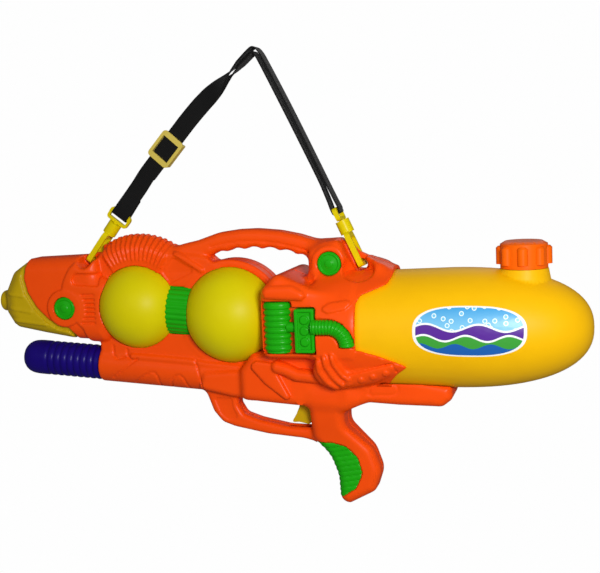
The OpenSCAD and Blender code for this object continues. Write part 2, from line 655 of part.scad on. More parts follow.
module muzzle() {
    tongue = shell_wall + seat_gap;
    color("yellow") difference() {
        union() {
            both() intersection() {
                half_pillow(inset(nose_outline, 0.6), nose_w - 0.6, 15.4, 3);
                side() polygon(rounded(inset(muzzle_outline, seat_gap)));
            }
            both() intersection() {
                half_pillow(inset(nose_outline, tongue), nose_w - tongue, 16 - tongue, 1, 95);
                side() polygon(rounded(inset(muzzle_outline, -7), 95));
            }
            both() intersection() {
                half_pillow(inset(nose_outline, -0.4), nose_w + 0.4, 16.4, 3);
                side() polygon(rounded(inset(muzzle_outline, 2)));
                side() for (f = flutes) stroke(f, 1.8);
            }
        }
        both() half_pillow(inset(nose_outline, shell_wall + 2.2), nose_w - shell_wall - 2.2, 11, 1, 95, 1);
        rearwards(-10, nozzle_z) cylinder(r = nozzle_r + seat_gap, h = 40, $fn = 32);
        rearwards(nozzle_flange_x - seat_gap, nozzle_z) cylinder(r = nozzle_flange_r + run_gap, h = 30, $fn = 32);
    }
}

module nozzle() {
    color("gold") rearwards(0, nozzle_z) difference() {
        union() {
            rotate_extrude() polygon([[0, 0], [4, 0], [5, 1.2], [8, 2.6], [10.4, 5], [nozzle_r, 8],
                [nozzle_r, nozzle_flange_x + 0.5], [0, nozzle_flange_x + 0.5]]);
            translate([0, 0, nozzle_flange_x]) cylinder(r = nozzle_flange_r, h = 3);
            translate([0, 0, nozzle_flange_x + 2]) cylinder(r = 6, h = 11);
            translate([0, 0, nozzle_flange_x + 12]) cylinder(r = nipple_r, h = 13, $fn = 24);
        }
        translate([0, 0, -1]) cylinder(r = orifice_r, h = 11.5, $fn = 24);
        translate([0, 0, 10]) cylinder(r = nipple_bore_r + 0.3, h = 40, $fn = 24);
    }
}

module globe(p, r) {
    color("yellow") difference() {
        union() {
            leftwards(p) sphere(r = r);
            leftwards(p, rim_y) cylinder(r = rim_r(r), h = rim_t);
        }
        leftwards(p) sphere(r = r - globe_wall);
        leftwards(p, rim_y - far) cylinder(r = far, h = far);
    }
}

module front_globe_left() {
    globe(front_globe, front_globe_r);
}

module front_globe_right() {
    mirror([0, 1, 0]) globe(front_globe, front_globe_r);
}

module rear_globe_left() {
    globe(rear_globe, rear_globe_r);
}

module rear_globe_right() {
    mirror([0, 1, 0]) globe(rear_globe, rear_globe_r);
}

// One side of the collar, with tabs behind the web
module collar_left() {
    color("green") difference() {
        collar_frame() {
            cylinder(r = collar_r, h = 40, center = true);
            for (i = [0:collar_ribs - 1]) let (a = -56 + 112 * i / (collar_ribs - 1))
                translate([collar_r * sin(a), -collar_r * cos(a), -20]) cylinder(r = 1.7, h = 40, $fn = 16);
            for (m = [-1, 1]) translate([m * (collar_r - 0.5) - 3.5, -rim_y - rim_t, -10.5]) cube([7, rim_t, 19.5]);
        }
        collar_frame() cylinder(r = collar_r - globe_wall, h = 60, center = true);
        for (g = [[front_globe, front_globe_r], [rear_globe, rear_globe_r]]) {
            leftwards(g[0]) sphere(r = g[1] + seat_gap);
            leftwards(g[0], rim_y - 1) cylinder(r = rim_r(g[1]) + seat_gap, h = rim_t + 1 + seat_gap);
        }
        translate([0, -rim_y, -far]) cube([2 * far, far, 2 * far]);
    }
}

module collar_right() {
    mirror([0, 1, 0]) collar_left();
}

// A round trim button on a face w from the split plane
module button(p, w) {
    color("green") leftwards(p, w - 2 + seat_gap) {
        rotate_extrude() polygon([[0, 0], [button_r, 0], [button_r, 3.4], [button_r - 1.2, 4.6], [button_r - 2.6, 4.6],
            [button_r - 3.4, 3.6], [5, 4.4], [3.6, 5.4], [0, 5.8]]);
        translate([0, 0, -4]) cylinder(r = button_stem_r, h = 5, $fn = 24);
    }
}

module front_button_left() {
    button(front_button, nose_w);
}

module front_button_right() {
    mirror([0, 1, 0]) button(front_button, nose_w);
}

module rear_button_left() {
    button(rear_button, head_w);
}

module rear_button_right() {
    mirror([0, 1, 0]) button(rear_button, head_w);
}

module engine_trim_left() {
    floor_y = house_w - pocket_depth + seat_gap;
    color("green") {
        side(floor_y, floor_y + 2.4) polygon(rounded(inset(pocket_outline, seat_gap), 45));
        for (i = [0:8]) translate([328, -floor_y - 3.6, -13.6 + i * 5.6]) rotate([0, 90, 0]) cylinder(r = 3, h = 29.5, $fn = 24);
        side(floor_y, house_w) polygon(rounded(plate_outline, 45));
        for (z = [16, 3, -9]) leftwards([370.5, z], house_w - 1) cylinder(r1 = 4.9, r2 = 4.2, h = 4, $fn = 24);
        side(house_w - 1, elbow_y + 2) translate([374.5, 1]) square([6, 14]);
        difference() {
            leftwards(elbow_centre, elbow_y) {
                rotate([0, 0, 8]) rotate_extrude(angle = 98) translate([elbow_bend_r, 0]) circle(elbow_r, $fn = 24);
                for (i = [0:11]) rotate([0, 0, 9 + i * 8]) rotate_extrude(angle = 3.6)
                    translate([elbow_bend_r, 0]) circle(elbow_rib_r, $fn = 24);
            }
            translate([0, -elbow_floor - seat_gap, -far]) cube([3 * far, far, 2 * far]);
        }
    }
}

module engine_trim_right() {
    mirror([0, 1, 0]) engine_trim_left();
}

module grip_insert_left() {
    color("green") difference() {
        union() {
            intersection() {
                half_pillow(inset(grip_outline, -0.3), grip_w + 0.3, 9.8);
                side() polygon(rounded(inset(insert_outline, seat_gap), 45));
            }
            intersection() {
                half_pillow(inset(grip_outline, -1.5), grip_w + 1.5, 11);
                side() polygon(rounded(inset(insert_outline, 2.5), 45));
                side() for (i = [0:9]) stroke([[366, -128 - 5.4 * i], [422, -133 - 5.4 * i]], 1.5);
            }
        }
        half_pillow(inset(grip_outline, insert_t - seat_gap), grip_w - insert_t + seat_gap, 9.5 - insert_t + seat_gap,
            2, 36, 1);
    }
}

module grip_insert_right() {
    mirror([0, 1, 0]) grip_insert_left();
}

module tank() {
    color("orange") difference() {
        union() {
            tank_form(0);
            translate([neck_x, 0, 40]) cylinder(r1 = boss_r + 4, r2 = boss_r, h = boss_top_z - 40);
            translate([neck_x, 0, 40]) cylinder(r = neck_r, h = neck_top_z - 40);
            rearwards(tank_front_x - 9, outlet_z) cylinder(r = nipple_r, h = 12, $fn = 24);
        }
        tank_form(-tank_wall);
        translate([neck_x, 0, 30]) cylinder(r = neck_r - neck_wall, h = 60);
        rearwards(tank_front_x - 20, outlet_z) cylinder(r = nipple_bore_r, h = 30, $fn = 24);
    }
}

module filler_cap() {
    color("darkorange") translate([neck_x, 0, 0]) difference() {
        union() {
            translate([0, 0, boss_top_z + run_gap]) cylinder(r = cap_r, h = cap_top_z - boss_top_z - run_gap);
            translate([0, 0, cap_top_z]) cylinder(r1 = cap_r, r2 = cap_r - 5, h = 3);
            for (i = [0:cap_lobes - 1]) rotate([0, 0, 360 * i / cap_lobes]) {
                translate([cap_lobe_r - 5.5, 0, 65.5]) cylinder(r = 5.5, h = 16.5, $fn = 24);
                translate([cap_lobe_r - 5.5, 0, 82]) cylinder(r1 = 5.5, r2 = 3.5, h = 2, $fn = 24);
            }
        }
        translate([0, 0, boss_top_z]) cylinder(r = neck_r + run_gap, h = neck_top_z + 1.6 - boss_top_z);
    }
}

module cap_seal() {
    color("dimgray") translate([neck_x, 0, neck_top_z + 0.2]) difference() {
        cylinder(r = neck_r - 0.2, h = 1);
        translate([0, 0, -1]) cylinder(r = neck_r - neck_wall, h = 3);
    }
}

module pump_handle() {
    color("indigo") along_pump(-handle_len - 1) difference() {
        union() {
            rotate_extrude() polygon(concat(
                [[0, 0], [8, 0.6], [13.5, 3], [handle_r - 2.5, 7]],
                [for (i = [0:handle_rings - 1]) let (s = 9 + i * (handle_len - 10) / handle_rings)
                    each [[handle_r - 2, s], [handle_r, s + 1.5], [handle_r, s + 5], [handle_r - 2, s + 6.5]]],
                [[handle_r - 2, handle_len], [0, handle_len]]));
        }
        translate([0, 0, 12]) cylinder(r = handle_r - 4.8, h = handle_len);
        translate([0, 0, 8]) cylinder(r = rod_r + 0.2, h = 20, $fn = 24);
    }
    color("indigo") along_pump(-handle_len - 1) translate([0, 0, 11]) difference() {
        cylinder(r = rod_r + 3.2, h = 30);
        translate([0, 0, -1]) cylinder(r = rod_r + 0.2, h = 40, $fn = 24);
    }
}

module pump_rod() {
    from = -handle_len + 8;
    color("lightgray") along_pump(from) cylinder(r = rod_r, h = piston_s + piston_len / 2 - from, $fn = 24);
}

module piston() {
    color("dimgray") along_pump(piston_s) difference() {
        cylinder(r = cylinder_bore_r - run_gap, h = piston_len);
        translate([0, 0, -1]) cylinder(r = rod_r + 0.2, h = piston_len / 2 + 1.3, $fn = 24);
        translate([0, 0, piston_len - 5]) difference() {
            cylinder(r = cylinder_bore_r + 2, h = 3);
            translate([0, 0, -1]) cylinder(r = cylinder_bore_r - 2.4, h = 5);
        }
    }
}

module piston_ring() {
    color("black") along_pump(piston_s + piston_len - 4.8) difference() {
        cylinder(r = cylinder_bore_r - 0.25, h = 2.6);
        translate([0, 0, -1]) cylinder(r = cylinder_bore_r - 2.2, h = 5);
    }
}

module pump_cylinder() {
    color("white") along_pump(cylinder_s) difference() {
        cylinder(r = cylinder_r, h = cylinder_len);
        translate([0, 0, -1]) cylinder(r = cylinder_bore_r, h = cylinder_len + 2);
    }
}

module rod_guide() {
    color("dimgray") along_pump(cylinder_s + 1) difference() {
        cylinder(r = cylinder_bore_r - 0.2, h = guide_len);
        translate([0, 0, -1]) cylinder(r = rod_r + run_gap, h = guide_len + 2, $fn = 24);
    }
}

module pump_head() {
    color("white") along_pump(cylinder_s + cylinder_len + 0.2) difference() {
        union() {
            cylinder(r = pump_head_r, h = 14);
            for (m = [-1, 1]) translate([0, m * pump_nipple_y, 13]) cylinder(r = nipple_r, h = 10, $fn = 24);
        }
        for (m = [-1, 1]) translate([0, m * pump_nipple_y, 0]) {
            translate([0, 0, -1]) cylinder(r = nipple_bore_r, h = 40, $fn = 24);
            translate([0, 0, 3]) cylinder(r = 4, h = 8, $fn = 24);
        }
    }
}

module valve_balls() {
    color("silver") along_pump(cylinder_s + cylinder_len + 0.2)
        for (m = [-1, 1]) translate([0, m * pump_nipple_y, m < 0 ? 6.4 : 7.6]) sphere(r = 3.2, $fn = 24);
}

module intake_hose() {
    color("white") swept_tube(intake_route, hose_r, hose_bore_r);
}

module delivery_hose() {
    color("white") swept_tube(delivery_route, hose_r, hose_bore_r);
}

module nozzle_tube() {
    color("white") swept_tube(nozzle_route, hose_r, hose_bore_r);
}

module trigger() {
    color("gold") difference() {
        side(-trigger_w, trigger_w) polygon(rounded(trigger_outline));
        leftwards(trigger_pin, -far) cylinder(r = pin_r + run_gap, h = 2 * far, $fn = 24);
    }
}

module trigger_pin() {
    color("silver") leftwards(trigger_pin, -14.6) cylinder(r = pin_r, h = 29.2, $fn = 24);
}

module valve_body() {
    color("white") difference() {
        union() {
            rearwards(valve_front_x, valve_z) cylinder(r = valve_r, h = valve_rear_x - valve_front_x);
            rearwards(valve_front_x - 9, valve_z) cylinder(r = nipple_r, h = 10, $fn = 24);
            translate([valve_outlet_x, 0, valve_z]) cylinder(r = nipple_r, h = valve_r + 9, $fn = 24);
        }
        rearwards(valve_front_x + 3, valve_z) cylinder(r = valve_bore_r, h = far, $fn = 24);
        rearwards(valve_front_x - 10, valve_z) cylinder(r = nipple_bore_r, h = 20, $fn = 24);
        translate([valve_outlet_x, 0, valve_z]) cylinder(r = nipple_bore_r, h = 40, $fn = 24);
    }
}

module valve_rod() {
    color("gray") {
        rearwards(valve_front_x + 10, valve_z) cylinder(r = valve_bore_r - 0.3, h = 16, $fn = 24);
        rearwards(valve_front_x + 25, valve_z) cylinder(r = valve_stem_r, h = rod_end_x - valve_front_x - 26, $fn = 24);
        rearwards(rod_end_x - 4, valve_z) cylinder(r = valve_r / 2, h = 4, $fn = 24);
    }
}

module valve_spring() {
    color("silver") swept_tube(spring_points(), spring_wire_r, 0, 5, [1, 0, 0]);
}

// A flat band along places with slope and twist
module webbing(route) {
    n = len(route);
    at = [for (p = route) [p[0], p[1], p[2]]];
    ring = [for (i = [0:n - 1]) let (w = strap_w / 2 * width_way(route[i]), t = strap_t / 2 * face_way(route, i))
        each [at[i] - w - t, at[i] + w - t, at[i] + w + t, at[i] - w + t]];
    polyhedron(ring, concat(
        [[0, 1, 2], [0, 2, 3]],
        [[4 * n - 1, 4 * n - 2, 4 * n - 3], [4 * n - 1, 4 * n - 3, 4 * n - 4]],
        [for (i = [0:n - 2]) for (j = [0:3]) let (a = 4 * i + j, b = 4 * i + (j + 1) % 4)
            each [[a, a + 4, b], [b, a + 4, b + 4]]]));
}

module strap() {
    color("black") webbing(strap_route);
}

module strap_return() {
    color("black") webbing(concat(return_start, [for (i = [return_from:-1:return_to])
        let (p = strap_route[i], f = face_way(strap_route, i) * return_gaps[return_from - i])
        [p[0] - f[0], p[1] - f[1], p[2] - f[2], p[3] + 180, 180 - p[4]]]));
}

// A flat outline between two faces across the slider
module slab(outline, y0, y1) {
    translate([0, y1, 0]) rotate([90, 0, 0]) linear_extrude(y1 - y0) difference() {
        polygon(rounded(outline));
        children();
    }
}

module strap_slider() {
    in = strap_w / 2 + 0.6;
    out = in + 3.4;
    front = strap_t / 2 + run_gap;
    back = front + return_gaps[len(return_gaps) - 1];
    color("khaki") translate(slider_at) rotate([0, -slider_slope, 0]) {
        slab([[-17, -out, 4], [17, -out, 4], [17, out, 4], [-17, out, 4]], -front - 2.4, -front)
            translate([-11, -in]) square([22, 2 * in]);
        for (m = [-1, 1]) slab([[-15, m * (in + out) / 2 - 1.7, 1], [15, m * (in + out) / 2 - 1.7, 1],
            [15, m * (in + out) / 2 + 1.7, 1], [-15, m * (in + out) / 2 + 1.7, 1]], -front - 1, back + 2.4);
        slab([[-4, -out, 2], [4, -out, 2], [4, out, 2], [-4, out, 2]], back, back + 2.4);
    }
}

// The children with X along a strap clip, from the hole in its lug
module clip_frame(p, slope, spin = 0) {
    translate([p[0], 0, p[1]]) rotate([0, -slope, 0]) rotate([spin, 0, 0]) children();
}

// Swivel eye with the slot for the webbing
module clip_eye() {
    in = strap_w / 2 + 0.8;
    slab([[clip_len - 12, -in - 2.4, 3.5], [clip_len + 2.5, -in - 3, 4], [clip_len + 2.5, in + 3, 4],
        [clip_len - 12, in + 2.4, 3.5]], -2.5, 2.5) translate([clip_len - 8.6, -in]) square([6.1, 2 * in]);
    translate([clip_len - 24, 0, 0]) rotate([0, 90, 0]) cylinder(r = eye_stem_r, h = 13, $fn = 24);
    translate([clip_len - 24, 0, 0]) rotate([0, 90, 0]) cylinder(r = eye_knob_r, h = 4, $fn = 24);
}

// Loop through the lug, with the barrel that holds the eye's stem
module clip_hook() {
    difference() {
        union() {
            translate([0, 0, -3]) linear_extrude(6) difference() {
                polygon(rounded([[-2.5, -11, 4], [clip_len - 25, -11, 6], [clip_len - 25, 11, 6], [-2.5, 11, 4]]));
                polygon(rounded([[2.5, -8, 2], [clip_len - 32, -8, 4], [clip_len - 32, 8, 4], [2.5, 8, 2]]));
            }
            translate([clip_len - 27, 0, 0]) rotate([0, 90, 0]) cylinder(r = 7.5, h = 14.5);
        }
        translate([clip_len - 24.5, 0, 0]) rotate([0, 90, 0]) cylinder(r = eye_knob_r + run_gap, h = 7.5, $fn = 24);
        translate([clip_len - 20, 0, 0]) rotate([0, 90, 0]) cylinder(r = eye_stem_r + run_gap, h = 20, $fn = 24);
    }
}

module front_clip_eye() {
    color("yellow") clip_frame(front_lug, front_clip_angle) clip_eye();
}

module front_clip_hook() {
    color("yellow") clip_frame(front_lug, front_clip_angle) clip_hook();
}

module rear_clip_eye() {
    color("yellow") clip_frame(rear_lug, rear_clip_angle, 90) clip_eye();
}

module rear_clip_hook() {
    color("yellow") clip_frame(rear_lug, rear_clip_angle) clip_hook();
}

module placed() {
    translate(-hang) children();
}

placed() left_shell();
placed() right_shell();
placed() shell_screws();
placed() muzzle();
placed() nozzle();
placed() front_globe_left();
placed() front_globe_right();
placed() rear_globe_left();
placed() rear_globe_right();
placed() collar_left();
placed() collar_right();
placed() front_button_left();
placed() front_button_right();
placed() rear_button_left();
placed() rear_button_right();
placed() engine_trim_left();
placed() engine_trim_right();
placed() grip_insert_left();
placed() grip_insert_right();
placed() tank();
placed() filler_cap();
placed() cap_seal();
placed() pump_handle();
placed() pump_rod();
placed() piston();
placed() piston_ring();
placed() pump_cylinder();
placed() rod_guide();
placed() pump_head();
placed() valve_balls();
placed() intake_hose();
placed() delivery_hose();
placed() nozzle_tube();
placed() trigger();
placed() trigger_pin();
placed() valve_body();
placed() valve_rod();
placed() valve_spring();
placed() strap();
placed() strap_return();
placed() strap_slider();
placed() front_clip_eye();
placed() front_clip_hook();
placed() rear_clip_eye();
placed() rear_clip_hook();
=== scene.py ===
"""A pump-action toy water squirter that hangs from its carry strap.

Everything is in metres, with the strap's hanging point at the origin, the muzzle towards -X and Z up.
"""

import functools
import math

import bpy
import numpy as np
from mathutils import Matrix, Vector


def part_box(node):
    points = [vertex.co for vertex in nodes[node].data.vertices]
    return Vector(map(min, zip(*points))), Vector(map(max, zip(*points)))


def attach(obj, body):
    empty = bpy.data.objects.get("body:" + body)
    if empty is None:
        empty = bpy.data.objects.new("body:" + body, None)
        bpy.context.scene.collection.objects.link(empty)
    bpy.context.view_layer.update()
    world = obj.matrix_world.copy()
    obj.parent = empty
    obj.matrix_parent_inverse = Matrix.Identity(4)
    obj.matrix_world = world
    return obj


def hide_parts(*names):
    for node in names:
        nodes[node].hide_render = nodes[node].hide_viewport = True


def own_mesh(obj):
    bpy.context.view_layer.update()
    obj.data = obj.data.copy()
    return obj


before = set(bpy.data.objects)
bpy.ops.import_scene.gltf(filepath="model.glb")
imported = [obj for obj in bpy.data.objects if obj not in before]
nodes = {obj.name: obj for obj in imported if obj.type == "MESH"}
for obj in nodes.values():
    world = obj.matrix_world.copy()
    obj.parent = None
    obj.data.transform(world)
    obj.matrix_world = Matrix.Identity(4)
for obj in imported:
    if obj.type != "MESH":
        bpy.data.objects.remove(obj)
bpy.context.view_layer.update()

# Studio
# The camera stands 1.2 m away, a little to the tank's side of the toy and above it. The toy hangs over a
# white light table in a white room, with the main lamp on the tank's side and two weaker ones.
YAW, PITCH, ROLL = math.radians(15), math.radians(7), math.radians(-2.5)
FILM_WIDE, PICTURE_WIDE, FOCUS_PIXELS = 36, 600, 1117.117
# The hanging point and the aim, from the muzzle's tip, where the millimetres of the later sections begin too
HANG = Vector((0.315, 0.0, 0.300))
LOOK_AT, AWAY = Vector((0.354036, 0, 0.044278)), 1.2
ahead = Vector((-math.sin(YAW) * math.cos(PITCH), math.cos(YAW) * math.cos(PITCH), -math.sin(PITCH)))
right = Vector((math.cos(YAW), math.sin(YAW), 0))
above = right.cross(ahead)
right, above = (
    math.cos(ROLL) * right + math.sin(ROLL) * above,
    math.cos(ROLL) * above - math.sin(ROLL) * right,
)
stand = LOOK_AT - HANG - AWAY * ahead
bpy.ops.object.select_all(action="DESELECT")
bpy.ops.object.camera_add()
camera = bpy.context.object
camera.matrix_world = Matrix(
    [(right[i], above[i], -ahead[i], stand[i]) for i in range(3)] + [(0, 0, 0, 1)]
)
camera.data.sensor_fit = "HORIZONTAL"
camera.data.sensor_width = FILM_WIDE
camera.data.lens = FILM_WIDE * FOCUS_PIXELS / PICTURE_WIDE
bpy.context.scene.camera = camera


def colour(code):
    """An sRGB hex value as a linear colour."""
    parts = [int(code[i : i + 2], 16) / 255 for i in (1, 3, 5)]
    return [c / 12.92 if c <= 0.04045 else ((c + 0.055) / 1.055) ** 2.4 for c in parts] + [1]


def add(tree, kind, inputs=None, **settings):
    """A new shader node with its settings; an input is a value, or another node's output to link."""
    made = tree.nodes.new("ShaderNode" + kind)
    for name, value in settings.items():
        setattr(made, name, value)
    for name, value in (inputs or {}).items():
        socket = made.inputs[name]
        if isinstance(value, bpy.types.NodeSocket):
            tree.links.new(value, socket)
        else:
            socket.default_value = value
    return made


def blank_finish(name):
    """A new material with an empty tree, and the tree."""
    material = bpy.data.materials.new(name)
    material.use_nodes = True
    material.node_tree.nodes.clear()
    return material, material.node_tree


# The floor glows white, shows no shadow under the hanging toy and casts no light on it.
FLOOR_LEVEL, FLOOR_ROUND, ROOM_WHITE = -0.62, 9, "#fefefe"
bpy.ops.mesh.primitive_circle_add(vertices=96, radius=FLOOR_ROUND, fill_type="NGON",
                                  location=(0, 0, FLOOR_LEVEL))
floor = bpy.context.object
floor.name = "floor"
floor_paint, tree = blank_finish("white_light_table")
shade = add(tree, "Emission", {"Color": colour(ROOM_WHITE), "Strength": 1.0})
add(tree, "OutputMaterial", {"Surface": shade.outputs[0]})
floor.data.materials.append(floor_paint)
floor.visible_diffuse = False
floor.visible_glossy = False

# Lamps: place, aim, width in metres and watts
for place, aim, wide, watts in (
    ((0.56, -1.02, 0.0), (0.13, 0, -0.27), 0.3, 10.6),
    ((-0.4, -1.3, 0.15), (-0.05, 0, -0.25), 0.8, 1.0),
    ((0.2, 1.2, 0.5), (0.0, 0, -0.25), 0.8, 1.5),
):
    bpy.ops.object.light_add(type="AREA", location=place)
    lamp = bpy.context.object
    lamp.data.shape = "DISK"
    lamp.data.size = wide
    lamp.data.energy = watts
    lamp.rotation_euler = (Vector(aim) - Vector(place)).to_track_quat("-Z", "Y").to_euler()

# The room is white to the camera, dim in the gloss of a piece and a little brighter as soft light on it.
ROOM_IN_GLOSS, ROOM_SOFT = 0.08, 0.27
room = bpy.data.worlds.new("white_room")
room.use_nodes = True
tree = room.node_tree
tree.nodes.clear()
ray = add(tree, "LightPath")
soft = add(tree, "MapRange", {"Value": ray.outputs["Is Diffuse Ray"], "To Min": ROOM_IN_GLOSS,
                              "To Max": ROOM_SOFT})
level = add(tree, "Math", {0: soft.outputs[0], 1: ray.outputs["Is Camera Ray"]}, operation="MAXIMUM")
sky = add(tree, "Background", {"Color": colour(ROOM_WHITE), "Strength": level.outputs[0]})
add(tree, "OutputWorld", {"Surface": sky.outputs[0]})
bpy.context.scene.world = room
bpy.context.scene.view_settings.view_transform = "Standard"

# Carry strap
# One length of black polypropylene webbing, 20 mm wide, woven flat with a ribbed face. It is sewn round the
# front clip's bar, passes the hanging point, turns round the rear clip's bar and comes back doubled through
# the adjuster.
STRAP_WIDTH, STRAP_THICK, STEPS_BETWEEN = 20.0, 1.6, 5
# A point of a route is x, y, z in millimetres, and the slope and twist of the webbing's width in degrees.
strap_route = [
    (167.6, 2, 146.5, 52, 0), (160, 2.9, 136.8, 52, 0), (154.6, 3.7, 129.9, 52, 0),
    (151.2, 3.7, 125.7, 52, 0), (150.6, 3.3, 124.9, 52, 0), (150.4, 2.4, 124.6, 52, 0),
    (150.4, -2.4, 124.6, 52, 0), (150.6, -3.3, 124.9, 52, 0), (151.2, -3.7, 125.7, 52, 0),
    (154.6, -3.7, 129.9, 52, 0),
    (160, -2.9, 136.8, 52, 0), (167.6, -1.2, 146.5, 52, 0), (176, 0, 157.3, 51, 0), (185.9, 0, 170.2, 48, 0),
    (210, 0, 197, 48, 0), (234.1, 0, 223.8, 47, 0), (250, 0, 240, 44, 0), (262, 0, 251.3, 43, 10),
    (272, 0, 260.6, 43, 35), (281, 0, 269, 43, 60), (290, 0, 277.4, 43, 80), (298, 0, 285, 43, 90),
    (305, 0, 291.6, 43, 90), (311, 0, 296.8, 43, 90), (315, 0, 299.2, 20, 90), (319, 0, 297.6, -30, 90),
    (323, 0, 292.5, -60, 90), (328, 0, 283, -63, 90), (347, 0, 244.5, -64, 90), (367, 0, 202, -65, 90),
    (387, 0, 158.5, -65, 90), (397, 0, 137, -66, 90), (401.4, 0, 128, -70, 90), (401.7, 0, 126, -80, 90),
]
return_start = [
    (401.8, 0, 125.7, -85, 90), (402.2, 0, 124.8, -95, 90), (402.3, 0, 123.7, -100, 90),
    (401.6, 0, 123, -150, 90), (397.2, 0, 121, -160, 90), (396.2, 0, 121, 170, 90),
    (395.4, 0, 121.8, 120, 90), (393.1, 0, 126.8, 114, 90),
]
return_gaps = [7, 5.5, 5.5, 5.5, 5, 5, 5, 5, 5, 5, 4.5, 4, 3.5, 3, 2.6, 2.4, 2.4, 2.4, 2.4]


def width_way(slope, twist):
    """The way the webbing's width runs at a slope in the side view, turned towards the side by twist."""
    a, b = math.radians(slope), math.radians(twist)
    return Vector((-math.sin(a) * math.cos(b), math.sin(b), math.cos(a) * math.cos(b)))


def along_way(route, i):
    """The way a route runs at its point i."""
    a, b = route[max(i - 1, 0)], route[min(i + 1, len(route) - 1)]
    return (Vector(b[:3]) - Vector(a[:3])).normalized()


# The return layer follows the strap's points from the rear clip back to the adjuster, a gap away from them.
DOUBLED = range(31, 12, -1)
return_route = list(return_start)
for i, gap in zip(DOUBLED, return_gaps):
    x, y, z, slope, twist = strap_route[i]
    face = along_way(strap_route, i).cross(width_way(slope, twist)).normalized()
    return_route.append((x - gap * face.x, y - gap * face.y, z - gap * face.z, slope + 180, 180 - twist))


def on_bench(name, mesh):
    """A new object for a mesh, alone selected for the next operator."""
    piece = bpy.data.objects.new(name, mesh)
    bpy.context.scene.collection.objects.link(piece)
    bpy.ops.object.select_all(action="DESELECT")
    bpy.context.view_layer.objects.active = piece
    piece.select_set(True)
    return piece


def fitted(piece, node, material, body):
    """A made piece gets its material, takes a CAD node's place and rides on its body."""
    piece.data.materials.append(material)
    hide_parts(node)
    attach(piece, body)


def webbing(name, route):
    """A woven band along a route, with its length and width in metres on its UV map."""
    stations = []
    for i in range(len(route) - 1):
        a, b, c, d = (Vector(route[min(max(j, 0), len(route) - 1)][:3]) for j in (i - 1, i, i + 1, i + 2))
        pull_b, pull_c = (c - a) * 0.5, (d - b) * 0.5
        limit = (c - b).length
        pull_b, pull_c = (p * min(1, limit / max(p.length, 1e-6)) for p in (pull_b, pull_c))
        for k in range(STEPS_BETWEEN if i < len(route) - 2 else STEPS_BETWEEN + 1):
            t = k / STEPS_BETWEEN
            at = (
                b * (2 * t**3 - 3 * t**2 + 1) + c * (3 * t**2 - 2 * t**3)
                + pull_b * (t**3 - 2 * t**2 + t) + pull_c * (t**3 - t**2)
            )
            way = width_way(*route[i][3:]).lerp(width_way(*route[i + 1][3:]), t).normalized()
            stations.append((at, way))
    half, thick = STRAP_WIDTH / 2, STRAP_THICK / 2
    section = [(-half, 0), (-half + 0.3, -thick * 0.8), (-half + 1.2, -thick)]
    section += [(half * q, -thick) for q in (-0.5, 0, 0.5)]
    section += [(half - 1.2, -thick), (half - 0.3, -thick * 0.8), (half, 0)]
    section += [(-w, -t) for w, t in section[1:-1]]
    points, rings, run = [], len(stations), [0.0]
    for i, (at, way) in enumerate(stations):
        ahead_way = (stations[min(i + 1, rings - 1)][0] - stations[max(i - 1, 0)][0]).normalized()
        face = ahead_way.cross(way).normalized()
        points += [(at + way * w + face * t) / 1000 - HANG for w, t in section]
        if i:
            run.append(run[-1] + (at - stations[i - 1][0]).length)
    k = len(section)
    faces = [(i * k + j, (i + 1) * k + j, (i + 1) * k + (j + 1) % k, i * k + (j + 1) % k)
             for i in range(rings - 1) for j in range(k)]
    faces += [tuple(range(k)), tuple(range((rings - 1) * k + k - 1, (rings - 1) * k - 1, -1))]
    mesh = bpy.data.meshes.new(name)
    mesh.from_pydata(points, [], faces)
    sheet = mesh.uv_layers.new(name="weave")
    for polygon in mesh.polygons:
        for corner in polygon.loop_indices:
            v = mesh.loops[corner].vertex_index
            sheet.data[corner].uv = (run[v // k] / 1000, section[v % k][0] / 1000)
    band = on_bench(name, mesh)
    bpy.ops.object.mode_set(mode="EDIT")
    bpy.ops.mesh.select_all(action="SELECT")
    bpy.ops.mesh.normals_make_consistent(inside=False)
    bpy.ops.object.mode_set(mode="OBJECT")
    bpy.ops.object.shade_smooth_by_angle(angle=math.radians(50))
    return band, [tuple(at / 1000 - HANG) for at, way in stations], run[-1] / 1000


# Woven polypropylene: dull black, with a painted grey sheen that lightens the raised ribs and threads. A wave
# texture has 20 * scale / 2 pi bands in a metre of the UV map, which makes the ribs 2 mm and the threads 1.4 mm
# apart, about twice the real spacing, so that they show.
RIB_SCALE, THREAD_SCALE, WEAVE_DEEP = 160.0, 230.0, 0.0004
webbing_cloth, tree = blank_finish("woven_polypropylene_webbing")
place = add(tree, "UVMap", uv_map="weave").outputs[0]
ribs = add(tree, "TexWave", {"Vector": place, "Scale": RIB_SCALE, "Distortion": 0.4, "Detail": 1.0,
                             "Detail Scale": 3.0}, bands_direction="X")
threads = add(tree, "TexWave", {"Vector": place, "Scale": THREAD_SCALE, "Distortion": 0.2}, bands_direction="Y")
weave = add(tree, "Math", {0: ribs.outputs["Fac"], 1: threads.outputs["Fac"]}, operation="MULTIPLY")
# Painted sheen: the ramp makes the webbing lighter where the weave stands highest
tone = add(tree, "ValToRGB", {"Fac": weave.outputs[0]})
tone.color_ramp.elements[0].color = colour("#040404")
tone.color_ramp.elements[1].color = colour("#0a0a0b")
lift = add(tree, "Bump", {"Height": weave.outputs[0], "Strength": 0.6, "Distance": WEAVE_DEEP})
shade = add(tree, "BsdfPrincipled", {
    "Base Color": tone.outputs["Color"], "Roughness": 0.72, "Normal": lift.outputs[0],
    "Sheen Weight": 0.06, "Sheen Roughness": 0.5, "IOR": 1.49, "Specular IOR Level": 0.25})
add(tree, "OutputMaterial", {"Surface": shade.outputs[0]})

for name, route, leaves in (
    ("strap", strap_route, (150.4, 0, 124.6)),
    ("strap_return", return_route, (402.3, 0, 123.7)),
):
    band, path, length = webbing(name + "_webbing", route)
    fitted(band, name, webbing_cloth, "strap")


